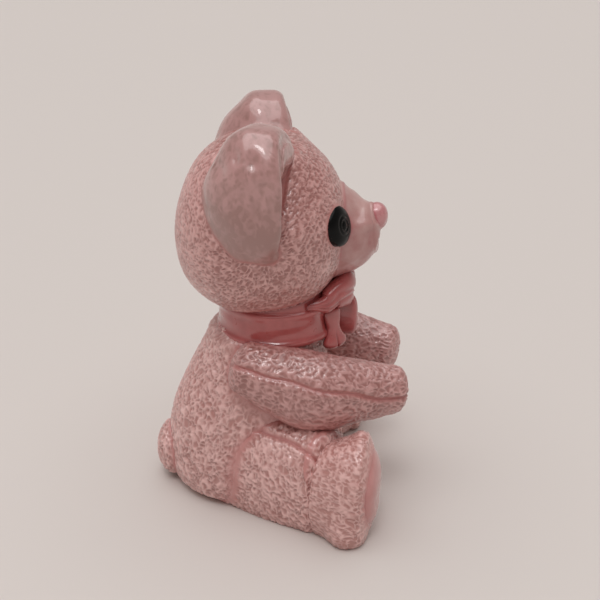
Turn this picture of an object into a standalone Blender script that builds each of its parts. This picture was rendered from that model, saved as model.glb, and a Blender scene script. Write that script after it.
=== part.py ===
"""Seated ceramic bear figurine, as the cast and luted pieces that it is put together from.

Run with: blender --background --python part.py

The file works in metres with +Z up. The bear faces -Y, its right side is towards -X, and it
sits on the plane z = 0. A place is written as (forward, side, up), measured from the axis of
the torso, and Station.values() turns it into Blender's own coordinates.

Every piece is a loft: oval sections carried along a smooth curve through a few stations, and
closed by a dome or a flat end. A piece that seats on another is cut by a copy of that other
piece, grown by the luted joint's gap, so that the two follow each other evenly. The torso and
the head are hollow castings with an even wall, open to each other through the neck.
"""

import math
from dataclasses import dataclass

import bmesh
import bpy
import numpy as np

MM = 0.001

# Fits
JOINT_GAP = 0.3 * MM
WALL = 3.0 * MM
GROUND_HALF_WIDTH = 200.0 * MM
GROUND_DEPTH = 20.0 * MM

# Torso
BASE_HALF_WIDTH = 20.5 * MM
BASE_FORWARD = -1.5 * MM
BELLY_SWELL = 1.4 * MM
BELLY_FORWARD = -0.8 * MM
TORSO_HALF_WIDTH = 27.0 * MM
TORSO_WIDEST_UP = 14.0 * MM
TORSO_NARROWING_SHARE = 0.93
NECK_HALF_WIDTH = 15.6 * MM
NECK_UP = 59.0 * MM
NECK_FORWARD = 9.4 * MM
NECK_LEAN = 0.8 * MM
WAIST_HALF_WIDTH = 25.5 * MM
WAIST_DROP = 31.0 * MM
WAIST_UP = NECK_UP - WAIST_DROP
WAIST_FORWARD = 0.6 * MM
CHEST_HALF_WIDTH = 22.0 * MM
CHEST_DROP = 16.0 * MM
CHEST_UP = NECK_UP - CHEST_DROP
CHEST_FORWARD = 3.6 * MM
SHOULDER_HALF_WIDTH = 18.8 * MM
SHOULDER_DROP = 5.0 * MM
SHOULDER_UP = NECK_UP - SHOULDER_DROP
SHOULDER_FORWARD = 6.6 * MM
DRAIN_HOLE_RADIUS = 4.0 * MM

# Head
HEAD_HALF_WIDTH = 27.0 * MM
HEAD_HALF_DEPTH = 26.8 * MM
HEAD_HALF_HEIGHT = 28.6 * MM
HEAD_BAND = 2.0 * MM
HEAD_BACK = 4.6 * MM
HEAD_FORWARD = NECK_FORWARD - HEAD_BACK
HEAD_RISE = 32.7 * MM
HEAD_UP = NECK_UP + HEAD_RISE
HEAD_SQUARENESS = 2.15
HEAD_MOUTH_LEDGE = 0.6 * MM
HEAD_MOUTH_RADIUS = NECK_HALF_WIDTH - WALL - HEAD_MOUTH_LEDGE

# Ears
EAR_HALF_WIDTH = 15.0 * MM
EAR_HALF_HEIGHT = 20.6 * MM
EAR_DEPTH = 27.0 * MM
EAR_WALL_DEPTH = 7.0 * MM
EAR_INSET = 6.0 * MM
EAR_SIDE = HEAD_HALF_WIDTH - EAR_INSET
EAR_RISE = 15.7 * MM
EAR_UP = HEAD_UP + EAR_RISE
EAR_AHEAD = 11.2 * MM
EAR_FRONT = HEAD_FORWARD + EAR_AHEAD
EAR_TURN = math.radians(12.0)
EAR_SQUARENESS = 2.2
EAR_RIM = 5.0 * MM
EAR_LIP = 4.4 * MM
EAR_HOLLOW_DEPTH = 5.5 * MM

# Muzzle, as a broad root, a middle that is part of the way to the lips, and the lips
MUZZLE_HALF_WIDTH = 12.5 * MM
MUZZLE_HALF_HEIGHT = 15.2 * MM
MUZZLE_DROP = 3.1 * MM
MUZZLE_UP = HEAD_UP - MUZZLE_DROP
MUZZLE_SEAT = 9.0 * MM
MUZZLE_SUNK = 4.6 * MM
MUZZLE_ROOT = HEAD_FORWARD + HEAD_HALF_DEPTH - MUZZLE_SUNK
MUZZLE_LENGTH = 15.0 * MM
MUZZLE_TIP = MUZZLE_ROOT + MUZZLE_LENGTH
MUZZLE_WIDTH_TAPER = 0.54
MUZZLE_HEIGHT_TAPER = 0.32
MUZZLE_MIDDLE_LIFT = 0.9 * MM
MUZZLE_LIP_LIFT = 1.2 * MM
LIP_HALF_WIDTH = 6.4 * MM
LIP_HALF_HEIGHT = 8.4 * MM
LIP_ROUNDING = 2.4 * MM

# Nose and eyes
NOSE_HALF_DEPTH = 3.4 * MM
NOSE_HALF_WIDTH = 3.8 * MM
NOSE_HALF_HEIGHT = 3.9 * MM
NOSE_SUNK = 1.1 * MM
NOSE_FORWARD = MUZZLE_TIP - NOSE_SUNK
NOSE_RISE = 5.4 * MM
NOSE_UP = MUZZLE_UP + NOSE_RISE
EYE_RADIUS = 6.4 * MM
EYE_DOME = 2.7 * MM
EYE_SUNK = 1.5 * MM
EYE_SIDE = 13.2 * MM
EYE_RISE = 3.3 * MM
EYE_UP = HEAD_UP + EYE_RISE

# Seams pressed in along the arms and the legs
CREASE_DEPTH = 1.3 * MM
CREASE_HALF_WIDTH = 1.1 * MM

# Arms. The swell gives a share of the way to the elbow, and of the full section there
ARM_HALF_WIDTH = 10.4 * MM
ARM_HALF_HEIGHT = 13.0 * MM
ARM_SWELL_SHARES = ((0.0, 0.70, 0.66), (0.48, 0.90, 0.88), (1.0, 1.0, 1.0))
FOREARM_TAPER = 0.54
PAW_HALF_WIDTH = 6.6 * MM
PAW_HALF_HEIGHT = 7.6 * MM
PAW_DOME = 6.0 * MM
SHOULDER_JOINT_DROP = 3.0 * MM
SHOULDER_JOINT = (0.0 * MM, 20.0 * MM, SHOULDER_UP - SHOULDER_JOINT_DROP)
SHOULDER_DOME = 4.6 * MM
ELBOW_STEP = (22.0 * MM, 0.5 * MM, -8.5 * MM)
PAW_STEP = (23.5 * MM, -5.5 * MM, -1.5 * MM)
ARM_CREASE_ANGLE = math.radians(14.0)

# Legs
LEG_HALF_WIDTH = 13.6 * MM
LEG_HALF_HEIGHT = 19.4 * MM
LEG_END_SHARE = 0.94
LEG_SQUARENESS = 2.5
HIP = (-3.0 * MM, 9.4 * MM, 12.4 * MM)
HIP_DOME = 4.0 * MM
ANKLE = (24.0 * MM, 26.4 * MM, 12.2 * MM)
ANKLE_DOME = 5.0 * MM
LEG_CREASE_ANGLE = math.radians(60.0)

# Feet
HEEL_HALF_WIDTH = 11.8 * MM
HEEL_HALF_HEIGHT = 15.6 * MM
HEEL_STEP = (1.4 * MM, 2.0 * MM, 0.0 * MM)
INSTEP_HALF_WIDTH = 12.6 * MM
INSTEP_HALF_HEIGHT = 17.6 * MM
INSTEP_STEP = (5.6 * MM, 3.8 * MM, 2.0 * MM)
FOOT_HALF_WIDTH = 12.6 * MM
FOOT_HALF_HEIGHT = 18.6 * MM
FOOT_SQUARENESS = 2.6
SOLE_STEP = (8.6 * MM, 2.0 * MM, 1.6 * MM)
SOLE_TURN = math.radians(8.0)
SOLE_ROUNDING = 3.6 * MM
PAD_HALF_WIDTH = 9.8 * MM
PAD_HALF_HEIGHT = 13.8 * MM
PAD_RISE = 3.0 * MM
PAD_DOME = 4.2 * MM
PAD_SEAT = 3.0 * MM

# Tail
TAIL_HALF_WIDTH = 9.0 * MM
TAIL_HALF_HEIGHT = 9.2 * MM
TAIL_UP = 10.2 * MM
TAIL_PROUD = 4.7 * MM
TAIL_BACK = -(TORSO_HALF_WIDTH + TAIL_PROUD)
TAIL_DOME = 5.6 * MM
TAIL_SEAT = 6.0 * MM

# Neck ribbon
RIBBON_PROUD = 3.3 * MM
RIBBON_HALF_WIDTH = NECK_HALF_WIDTH + RIBBON_PROUD
RIBBON_DROP = 2.4 * MM
RIBBON_LOW = NECK_UP - RIBBON_DROP
RIBBON_TOP_DROP = 19.3 * MM
RIBBON_TALL = HEAD_UP - RIBBON_TOP_DROP - RIBBON_LOW
RIBBON_EDGE_IN = 0.7 * MM
RIBBON_EDGE_TALL = 2.0 * MM

# Bow. The swell gives a share of a lobe's length, and of its full section there
KNOT_HALF_WIDTH = 3.8 * MM
KNOT_HALF_HEIGHT = 4.4 * MM
KNOT_PROUD = 7.4 * MM
KNOT_CORE = 0.8 * MM
KNOT_RISE = 5.9 * MM
KNOT_UP = RIBBON_LOW + KNOT_RISE
BOW_WRAP_RADIUS = 24.0 * MM
BOW_SWELL_SHARES = ((0.22, 0.62), (0.48, 0.9), (0.78, 1.0))
BOW_ROOT_ROUNDING = 1.0 * MM
BOW_SPREAD = 1.0 * MM
LOOP_LENGTH = 12.5 * MM
LOOP_HALF_HEIGHT = 6.0 * MM
LOOP_HALF_THICKNESS = 3.6 * MM
LOOP_RISE = math.radians(28.0)
TAIL_END_LENGTH = 13.0 * MM
TAIL_END_HALF_HEIGHT = 3.5 * MM
TAIL_END_HALF_THICKNESS = 2.6 * MM
TAIL_END_RISE = math.radians(-52.0)

SIDES = (("right", -1.0), ("left", 1.0))


@dataclass(frozen=True)
class Finish:
    """One fired colour."""

    name: str
    colour: tuple
    roughness: float

    def material(self):
        found = bpy.data.materials.get(self.name)
        if found:
            return found
        made = bpy.data.materials.new(self.name)
        made.use_nodes = True
        surface = made.node_tree.nodes["Principled BSDF"]
        surface.inputs["Base Color"].default_value = (*self.colour, 1.0)
        surface.inputs["Roughness"].default_value = self.roughness
        surface.inputs["Metallic"].default_value = 0.0
        made.diffuse_color = (*self.colour, 1.0)
        return made


FUR_GLAZE = Finish("pink_fur_glaze", (0.56, 0.31, 0.30), 0.25)
MUZZLE_GLAZE = Finish("pale_pink_glaze", (0.60, 0.36, 0.34), 0.20)
PAD_GLAZE = Finish("sole_pink_glaze", (0.54, 0.28, 0.27), 0.22)
RIBBON_GLAZE = Finish("deep_pink_glaze", (0.45, 0.13, 0.14), 0.22)
NOSE_GLAZE = Finish("rose_glaze", (0.50, 0.19, 0.20), 0.20)
EYE_GLAZE = Finish("black_glaze", (0.01, 0.01, 0.01), 0.08)


@dataclass(frozen=True)
class Station:
    """One place that a loft passes through, and how wide and high the loft is there."""

    forward: float
    side: float
    up: float
    half_width: float
    half_height: float

    def values(self):
        return (self.side, -self.forward, self.up, self.half_width, self.half_height)


@dataclass(frozen=True)
class Crease:
    """A seam pressed in along a loft: its angle round the section and its size."""

    angle: float
    depth: float
    half_width: float
    radius: float


def smooth_rows(stations, rows):
    """Evenly spaced values along the smooth curve that passes through the stations."""
    values = np.array([station.values() for station in stations])
    slopes = np.gradient(values, axis=0)
    last = len(values) - 1
    places = np.linspace(0.0, last, rows)
    index = np.minimum(places.astype(int), last - 1)
    t = (places - index)[:, None]
    start, end = values[index], values[index + 1]
    start_slope, end_slope = slopes[index], slopes[index + 1]
    return (
        start * (2 * t**3 - 3 * t**2 + 1)
        + start_slope * (t**3 - 2 * t**2 + t)
        + end * (3 * t**2 - 2 * t**3)
        + end_slope * (t**3 - t**2)
    )


def unit(vectors):
    return vectors / np.linalg.norm(vectors, axis=-1, keepdims=True)


def dome_rows(end, direction, length, count):
    """Rows that close a loft with a quarter oval, from the ring next to the end to the pole."""
    angles = np.linspace(0.0, math.pi / 2, count + 1)[1:-1]
    centres = end[:3] + direction * (length * np.sin(angles))[:, None]
    return centres, np.cos(angles)


def section_angles(segments, crease):
    """Angles round a section. A crease gets close neighbours, the rest share what is left."""
    if crease is None:
        return np.linspace(0.0, 2 * math.pi, segments, endpoint=False)
    near = crease.half_width / crease.radius
    rest = np.linspace(near, 2 * math.pi - near, segments - 1)
    return crease.angle + np.concatenate([[0.0], rest])


@dataclass(frozen=True)
class Loft:
    """A closed form made of oval sections carried along a smooth curve."""

    stations: tuple
    rows: int
    segments: int = 24
    start_dome: float = 0.0
    end_dome: float = 0.0
    dome_rings: int = 5
    upright: bool = False
    squareness: float = 2.0
    crease: Crease | None = None
    turns: tuple | None = None

    def frame(self, centres):
        """The directions along, across and over each section.

        Sections stand square to the curve, or level in an upright loft. With turns they stand
        upright and turn evenly, in plan, from the first angle outwards to the last.
        """
        along = unit(np.gradient(centres, axis=0))
        if self.turns:
            turn = np.linspace(*self.turns, len(along))
            nothing, one = np.zeros_like(turn), np.ones_like(turn)
            along = np.stack([np.sin(turn), -np.cos(turn), nothing], axis=1)
            across = np.stack([np.cos(turn), np.sin(turn), nothing], axis=1)
            return along, across, np.stack([nothing, nothing, one], axis=1)
        if self.upright:
            across = np.tile([1.0, 0.0, 0.0], (len(along), 1))
            over = np.tile([0.0, 1.0, 0.0], (len(along), 1))
            return along, across, over
        across = unit(np.cross([0.0, 0.0, 1.0], along))
        return along, across, np.cross(along, across)

    def rings(self):
        """Every ring as an array of rows, points and coordinates, and the rows between domes."""
        body = smooth_rows(self.stations, self.rows)
        along, across, over = self.frame(body[:, :3])
        centres = [body[:, :3]]
        scales = [np.ones(self.rows)]
        source = [np.arange(self.rows)]
        if self.start_dome:
            places, shares = dome_rows(body[0], -along[0], self.start_dome, self.dome_rings)
            centres.insert(0, places[::-1])
            scales.insert(0, shares[::-1])
            source.insert(0, np.zeros(len(places), int))
        if self.end_dome:
            places, shares = dome_rows(body[-1], along[-1], self.end_dome, self.dome_rings)
            centres.append(places)
            scales.append(shares)
            source.append(np.full(len(places), self.rows - 1))
        centres = np.concatenate(centres)
        scale = np.concatenate(scales)[:, None]
        row = np.concatenate(source)
        angles = section_angles(self.segments, self.crease)
        power = 2.0 / self.squareness
        wide = np.sign(np.cos(angles)) * np.abs(np.cos(angles)) ** power
        high = np.sign(np.sin(angles)) * np.abs(np.sin(angles)) ** power
        width = body[row, 3:4] * scale * wide
        height = body[row, 4:5] * scale * high
        if self.crease:
            radius = np.hypot(width[:, 0], height[:, 0])
            pull = 1.0 - self.crease.depth * scale[:, 0] / radius
            width[:, 0] *= pull
            height[:, 0] *= pull
        points = centres[:, None] + across[row][:, None] * width[..., None]
        return points + over[row][:, None] * height[..., None], body, along

    def mesh(self, name):
        """The loft as a closed Blender mesh with its faces pointing out."""
        points, body, along = self.rings()
        built = bmesh.new()
        grid = [[built.verts.new(point) for point in ring] for ring in points]
        for ring, following in zip(grid, grid[1:]):
            for index in range(self.segments):
                beside = (index + 1) % self.segments
                built.faces.new((ring[index], ring[beside], following[beside], following[index]))
        ends = (
            (grid[0], body[0], -along[0], self.start_dome),
            (grid[-1], body[-1], along[-1], self.end_dome),
        )
        for ring, end, direction, dome in ends:
            if not dome:
                built.faces.new(ring)
                continue
            pole = built.verts.new(end[:3] + direction * dome)
            for index in range(self.segments):
                built.faces.new((ring[index], ring[(index + 1) % self.segments], pole))
        bmesh.ops.recalc_face_normals(built, faces=built.faces)
        mesh = bpy.data.meshes.new(name)
        built.to_mesh(mesh)
        built.free()
        return mesh


class Figurine:
    """Collects the pieces, and the forms that cut them, under one root."""

    def __init__(self):
        self.root = bpy.data.objects.new("bear_root", None)
        bpy.context.scene.collection.objects.link(self.root)
        self.grown = {}
        self.pieces = []

    def link(self, name, mesh):
        made = bpy.data.objects.new(name, mesh)
        bpy.context.scene.collection.objects.link(made)
        made.parent = self.root
        return made

    def cutter(self, name, loft, grow=0.0):
        """A hidden form that cuts, grown evenly along its normals."""
        made = self.link(name, loft.mesh(name))
        made.hide_render = True
        made.display_type = "WIRE"
        if grow:
            push = made.modifiers.new("grow", "DISPLACE")
            push.strength = grow
            push.mid_level = 0.0
        return made

    def seat(self, name, loft):
        """The cutter that gives a neighbour its seat on this form. It is made once."""
        if name not in self.grown:
            self.grown[name] = self.cutter(f"{name}_seat", loft, JOINT_GAP)
        return self.grown[name]

    def piece(self, name, loft, finish, cutters=()):
        """One named piece, cut by the forms that it seats on or is hollowed by."""
        made = self.link(name, loft.mesh(name))
        made.data.materials.append(finish.material())
        for cutter in cutters:
            cut = made.modifiers.new(cutter.name, "BOOLEAN")
            cut.operation = "DIFFERENCE"
            cut.solver = "EXACT"
            cut.object = cutter
        made.data.shade_smooth()
        made.data.set_sharp_from_angle(angle=math.radians(35.0))
        self.pieces.append(made)

    def centre(self):
        """Moves the root so that the middle of the bear's length is at the origin."""
        places = [vertex.co.y for piece in self.pieces for vertex in piece.data.vertices]
        self.root.location.y = -0.5 * (min(places) + max(places))


def sideways(half_depth, up):
    """The half width for a half depth: the belly is narrower than deep, the neck is round."""
    share = min(max((NECK_UP - up) / (NECK_UP - CHEST_UP), 0.0), 1.0)
    return half_depth * (1.0 + (TORSO_NARROWING_SHARE - 1.0) * share)


def torso_stations(inset):
    """The torso's sections from the base to the neck, each smaller by the inset."""
    belly_up = 0.3 * TORSO_WIDEST_UP
    belly_half = 0.5 * (BASE_HALF_WIDTH + TORSO_HALF_WIDTH) + BELLY_SWELL
    neck_top = HEAD_UP - 0.45 * HEAD_HALF_HEIGHT
    profile = (
        (BASE_FORWARD, 0.0, BASE_HALF_WIDTH),
        (BELLY_FORWARD, belly_up, belly_half),
        (0.0, TORSO_WIDEST_UP, TORSO_HALF_WIDTH),
        (WAIST_FORWARD, WAIST_UP, WAIST_HALF_WIDTH),
        (CHEST_FORWARD, CHEST_UP, CHEST_HALF_WIDTH),
        (SHOULDER_FORWARD, SHOULDER_UP, SHOULDER_HALF_WIDTH),
        (NECK_FORWARD - NECK_LEAN, NECK_UP, NECK_HALF_WIDTH),
        (NECK_FORWARD, neck_top, NECK_HALF_WIDTH),
    )
    return tuple(
        Station(forward, 0.0, up, sideways(half, up) - inset, half - inset)
        for forward, up, half in profile
    )


def torso_loft():
    return Loft(torso_stations(0.0), rows=16, segments=30, upright=True)


def torso_hollow():
    """The space inside the torso, from the floor of the casting up through the neck."""
    belly, *above = torso_stations(WALL)[1:]
    floor = Station(
        belly.forward, 0.0, max(belly.up, WALL), belly.half_width, belly.half_height
    )
    return Loft((floor, *above), rows=10, segments=20, upright=True)


def upright_post(forward, low, high, radius):
    """A plain round bore that stands upright."""
    ends = tuple(Station(forward, 0.0, up, radius, radius) for up in (low, high))
    return Loft(ends, rows=2, segments=20, upright=True)


def head_loft(inset):
    """The head as a slightly square oval ball, smaller by the inset."""
    width, depth = HEAD_HALF_WIDTH - inset, HEAD_HALF_DEPTH - inset
    dome = HEAD_HALF_HEIGHT - inset - HEAD_BAND
    band = tuple(
        Station(HEAD_FORWARD, 0.0, HEAD_UP + place, width, depth)
        for place in (-HEAD_BAND, HEAD_BAND)
    )
    coarse = inset > 0.0
    return Loft(
        band,
        rows=2,
        segments=20 if coarse else 34,
        start_dome=dome,
        end_dome=dome,
        dome_rings=5 if coarse else 8,
        upright=True,
        squareness=HEAD_SQUARENESS,
    )


def head_mouth():
    """The bore at the foot of the head, where it opens into the neck."""
    low = HEAD_UP - 1.2 * HEAD_HALF_HEIGHT
    high = HEAD_UP - 0.5 * HEAD_HALF_HEIGHT
    return upright_post(NECK_FORWARD, low, high, HEAD_MOUTH_RADIUS)


def ear_station(sign, along, half_width, half_height):
    """A section this far along the way that the open side of an ear faces."""
    forward = EAR_FRONT + along * math.cos(EAR_TURN)
    side = EAR_SIDE + along * math.sin(EAR_TURN)
    return Station(forward, sign * side, EAR_UP, half_width, half_height)


def ear_loft(sign):
    """A thick round ear: an oval shell that is domed behind and has a rounded rim in front."""
    return Loft(
        tuple(
            ear_station(sign, along, EAR_HALF_WIDTH, EAR_HALF_HEIGHT)
            for along in (-EAR_LIP - EAR_WALL_DEPTH, -EAR_LIP)
        ),
        rows=2,
        segments=24,
        start_dome=EAR_DEPTH - EAR_WALL_DEPTH - EAR_LIP,
        end_dome=EAR_LIP,
        dome_rings=5,
        squareness=EAR_SQUARENESS,
    )


def ear_hollow(sign):
    """The dished front of an ear, inside the rim."""
    width, height = EAR_HALF_WIDTH - EAR_RIM, EAR_HALF_HEIGHT - EAR_RIM
    return Loft(
        (
            ear_station(sign, -0.5 * EAR_LIP, width, height),
            ear_station(sign, EAR_LIP, EAR_HALF_WIDTH, EAR_HALF_HEIGHT),
        ),
        rows=2,
        segments=22,
        start_dome=EAR_HOLLOW_DEPTH,
        dome_rings=3,
    )


def muzzle_loft():
    """The snout: a broad oval root that narrows and rises to the lips."""
    middle = 0.5 * (MUZZLE_ROOT + MUZZLE_TIP)
    middle_width = MUZZLE_HALF_WIDTH + (LIP_HALF_WIDTH - MUZZLE_HALF_WIDTH) * MUZZLE_WIDTH_TAPER
    middle_height = (
        MUZZLE_HALF_HEIGHT + (LIP_HALF_HEIGHT - MUZZLE_HALF_HEIGHT) * MUZZLE_HEIGHT_TAPER
    )
    profile = (
        (MUZZLE_ROOT - MUZZLE_SEAT, MUZZLE_UP, MUZZLE_HALF_WIDTH, MUZZLE_HALF_HEIGHT),
        (MUZZLE_ROOT, MUZZLE_UP, MUZZLE_HALF_WIDTH, MUZZLE_HALF_HEIGHT),
        (middle, MUZZLE_UP + MUZZLE_MIDDLE_LIFT, middle_width, middle_height),
        (MUZZLE_TIP - LIP_ROUNDING, MUZZLE_UP + MUZZLE_LIP_LIFT, LIP_HALF_WIDTH, LIP_HALF_HEIGHT),
    )
    return Loft(
        tuple(Station(forward, 0.0, up, width, height) for forward, up, width, height in profile),
        rows=8,
        segments=24,
        end_dome=LIP_ROUNDING,
        dome_rings=4,
    )


def nose_loft():
    """The small oval ball of the nose."""
    core = 0.1 * NOSE_HALF_DEPTH
    ends = tuple(
        Station(NOSE_FORWARD + place, 0.0, NOSE_UP, NOSE_HALF_WIDTH, NOSE_HALF_HEIGHT)
        for place in (-core, core)
    )
    dome = NOSE_HALF_DEPTH - core
    return Loft(ends, rows=2, segments=16, start_dome=dome, end_dome=dome)


def head_surface_forward(side, up):
    """How far forward the skin of the head is at a place on its front."""
    power = HEAD_SQUARENESS
    height = abs(up - HEAD_UP) / HEAD_HALF_HEIGHT
    level = math.sqrt(1.0 - height**2)
    share = abs(side) / (HEAD_HALF_WIDTH * level)
    return HEAD_FORWARD + HEAD_HALF_DEPTH * level * (1.0 - share**power) ** (1.0 / power)


def eye_loft(sign):
    """A round eye bead that is domed outwards and sunk in the skin of the head."""
    skin = head_surface_forward(EYE_SIDE, EYE_UP)
    ahead, aside = unit(np.array([skin - HEAD_FORWARD, EYE_SIDE]))
    ends = tuple(
        Station(
            skin + ahead * place,
            sign * (EYE_SIDE + aside * place),
            EYE_UP,
            EYE_RADIUS,
            EYE_RADIUS,
        )
        for place in (-EYE_SUNK, 0.0)
    )
    return Loft(ends, rows=2, segments=24, end_dome=EYE_DOME, dome_rings=5)


def station_at(point, sign, half_width, half_height):
    """A station at a point given for the left side, or at its mirror image on the right."""
    forward, side, up = point
    return Station(forward, sign * side, up, half_width, half_height)


def between(first, second, share):
    return tuple(a + (b - a) * share for a, b in zip(first, second))


def beyond(point, *steps):
    """The point that some steps lead to, each as forward, side and up."""
    return tuple(sum(places) for places in zip(point, *steps))


def limb_crease(angle, sign, radius):
    """The pressed seam of a limb, at an angle up from level on the limb's outer side."""
    outer = angle if sign > 0 else math.pi - angle
    return Crease(outer, CREASE_DEPTH, CREASE_HALF_WIDTH, radius)


def arm_loft(sign):
    """A plump arm that reaches forward from the shoulder and narrows to the paw."""
    full = (ARM_HALF_WIDTH, ARM_HALF_HEIGHT)
    end = (PAW_HALF_WIDTH, PAW_HALF_HEIGHT)
    elbow = beyond(SHOULDER_JOINT, ELBOW_STEP)
    paw = beyond(elbow, PAW_STEP)
    upper = tuple(
        station_at(
            between(SHOULDER_JOINT, elbow, share),
            sign,
            wide * ARM_HALF_WIDTH,
            high * ARM_HALF_HEIGHT,
        )
        for share, wide, high in ARM_SWELL_SHARES
    )
    forearm = station_at(between(elbow, paw, FOREARM_TAPER), sign, *between(full, end, FOREARM_TAPER))
    return Loft(
        (*upper, forearm, station_at(paw, sign, *end)),
        rows=11,
        segments=18,
        start_dome=SHOULDER_DOME,
        end_dome=PAW_DOME,
        dome_rings=4,
        crease=limb_crease(ARM_CREASE_ANGLE, sign, ARM_HALF_WIDTH),
    )


def leg_loft(sign):
    """A short thigh that is splayed outwards, with its seam along the top."""
    end_width, end_height = LEG_END_SHARE * LEG_HALF_WIDTH, LEG_END_SHARE * LEG_HALF_HEIGHT
    return Loft(
        (
            station_at(HIP, sign, end_width, end_height),
            station_at(between(HIP, ANKLE, 0.5), sign, LEG_HALF_WIDTH, LEG_HALF_HEIGHT),
            station_at(ANKLE, sign, end_width, end_height),
        ),
        rows=7,
        segments=24,
        start_dome=HIP_DOME,
        end_dome=ANKLE_DOME,
        dome_rings=4,
        squareness=LEG_SQUARENESS,
        crease=limb_crease(LEG_CREASE_ANGLE, sign, LEG_HALF_HEIGHT),
    )


def sole_station(sign, along, rise, half_width, half_height):
    """A section parallel to the sole, this far in front of its rim and above its middle."""
    sole = beyond(ANKLE, HEEL_STEP, INSTEP_STEP, SOLE_STEP)
    step = (along * math.cos(SOLE_TURN), along * math.sin(SOLE_TURN), rise)
    return station_at(beyond(sole, step), sign, half_width, half_height)


def foot_loft(sign):
    """A foot that flares from the ankle to the rim of its upright sole."""
    leg_turn = math.atan2(ANKLE[1] - HIP[1], ANKLE[0] - HIP[0])
    heel = beyond(ANKLE, HEEL_STEP)
    instep = beyond(heel, INSTEP_STEP)
    return Loft(
        (
            station_at(heel, sign, HEEL_HALF_WIDTH, HEEL_HALF_HEIGHT),
            station_at(instep, sign, INSTEP_HALF_WIDTH, INSTEP_HALF_HEIGHT),
            sole_station(sign, -SOLE_ROUNDING, 0.0, FOOT_HALF_WIDTH, FOOT_HALF_HEIGHT),
        ),
        rows=6,
        segments=22,
        end_dome=SOLE_ROUNDING,
        dome_rings=3,
        squareness=FOOT_SQUARENESS,
        turns=(sign * leg_turn, sign * SOLE_TURN),
    )


def pad_loft(sign):
    """The smooth pad that is let into the sole and bulges forward of it."""
    turn = sign * SOLE_TURN
    return Loft(
        tuple(
            sole_station(sign, along, PAD_RISE, PAD_HALF_WIDTH, PAD_HALF_HEIGHT)
            for along in (-PAD_SEAT, -0.5 * PAD_SEAT)
        ),
        rows=2,
        segments=24,
        end_dome=PAD_DOME,
        dome_rings=5,
        turns=(turn, turn),
    )


def tail_loft():
    """The round tail behind the torso, close above the ground."""
    root = TAIL_BACK + TAIL_DOME
    ends = tuple(
        Station(forward, 0.0, TAIL_UP, TAIL_HALF_WIDTH, TAIL_HALF_HEIGHT)
        for forward in (root + TAIL_SEAT, root)
    )
    return Loft(ends, rows=3, segments=18, end_dome=TAIL_DOME, dome_rings=5)


def ribbon_loft():
    """The ribbon round the neck, whose upper and lower edges are drawn in a little."""
    edge = RIBBON_HALF_WIDTH - RIBBON_EDGE_IN
    profile = (
        (RIBBON_LOW, edge),
        (RIBBON_LOW + RIBBON_EDGE_TALL, RIBBON_HALF_WIDTH),
        (RIBBON_LOW + RIBBON_TALL, edge),
    )
    stations = tuple(Station(NECK_FORWARD, 0.0, up, half, half) for up, half in profile)
    return Loft(stations, rows=4, segments=30, upright=True)


def knot_loft():
    """The knot of the bow, standing on the front of the ribbon."""
    middle = NECK_FORWARD + RIBBON_HALF_WIDTH + KNOT_PROUD - KNOT_HALF_WIDTH
    ends = tuple(
        Station(middle + place, 0.0, KNOT_UP, KNOT_HALF_WIDTH, KNOT_HALF_HEIGHT)
        for place in (-KNOT_PROUD, KNOT_CORE)
    )
    return Loft(ends, rows=3, segments=18, end_dome=KNOT_HALF_WIDTH - KNOT_CORE, dome_rings=5)


def bow_back(side):
    """How far forward the back of the bow is at this distance from the middle."""
    drop = BOW_WRAP_RADIUS - math.sqrt(BOW_WRAP_RADIUS**2 - side**2)
    return NECK_FORWARD + RIBBON_HALF_WIDTH - drop


@dataclass(frozen=True)
class Lobe:
    """One lobe of the bow, laid along the ribbon from the knot and slanted up or down."""

    length: float
    rise: float
    half_height: float
    half_thickness: float
    root_up: float

    def station(self, sign, share, swell):
        reach = share * self.length
        side = reach * math.cos(self.rise)
        return Station(
            bow_back(side) + self.half_thickness,
            sign * side,
            self.root_up + reach * math.sin(self.rise),
            swell * self.half_thickness,
            swell * self.half_height,
        )

    def loft(self, sign):
        tip_dome = (1.0 - BOW_SWELL_SHARES[-1][0]) * self.length
        return Loft(
            tuple(self.station(sign, share, swell) for share, swell in BOW_SWELL_SHARES),
            rows=6,
            segments=14,
            start_dome=BOW_ROOT_ROUNDING,
            end_dome=tip_dome,
            dome_rings=3,
        )


LOOP = Lobe(LOOP_LENGTH, LOOP_RISE, LOOP_HALF_HEIGHT, LOOP_HALF_THICKNESS, KNOT_UP + BOW_SPREAD)
TAIL_END = Lobe(
    TAIL_END_LENGTH,
    TAIL_END_RISE,
    TAIL_END_HALF_HEIGHT,
    TAIL_END_HALF_THICKNESS,
    KNOT_UP - BOW_SPREAD,
)


def ground_loft():
    """A block under the plane that the bear sits on, which flattens what dips below it."""
    ends = tuple(
        Station(0.0, 0.0, up, GROUND_HALF_WIDTH, GROUND_HALF_WIDTH) for up in (-GROUND_DEPTH, 0.0)
    )
    return Loft(ends, rows=2, segments=4, upright=True)


def add_castings(bear):
    """The hollow torso with its drain hole, and the hollow head that opens into it."""
    drain = upright_post(0.0, -WALL, 2.0 * WALL, DRAIN_HOLE_RADIUS)
    torso_cuts = (
        bear.cutter("torso_hollow", torso_hollow()),
        bear.cutter("drain_hole", drain),
        bear.seat("head", head_loft(0.0)),
    )
    bear.piece("torso_casting", torso_loft(), FUR_GLAZE, torso_cuts)
    head_cuts = (
        bear.cutter("head_hollow", head_loft(WALL)),
        bear.cutter("head_mouth", head_mouth()),
    )
    bear.piece("head_casting", head_loft(0.0), FUR_GLAZE, head_cuts)


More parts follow.
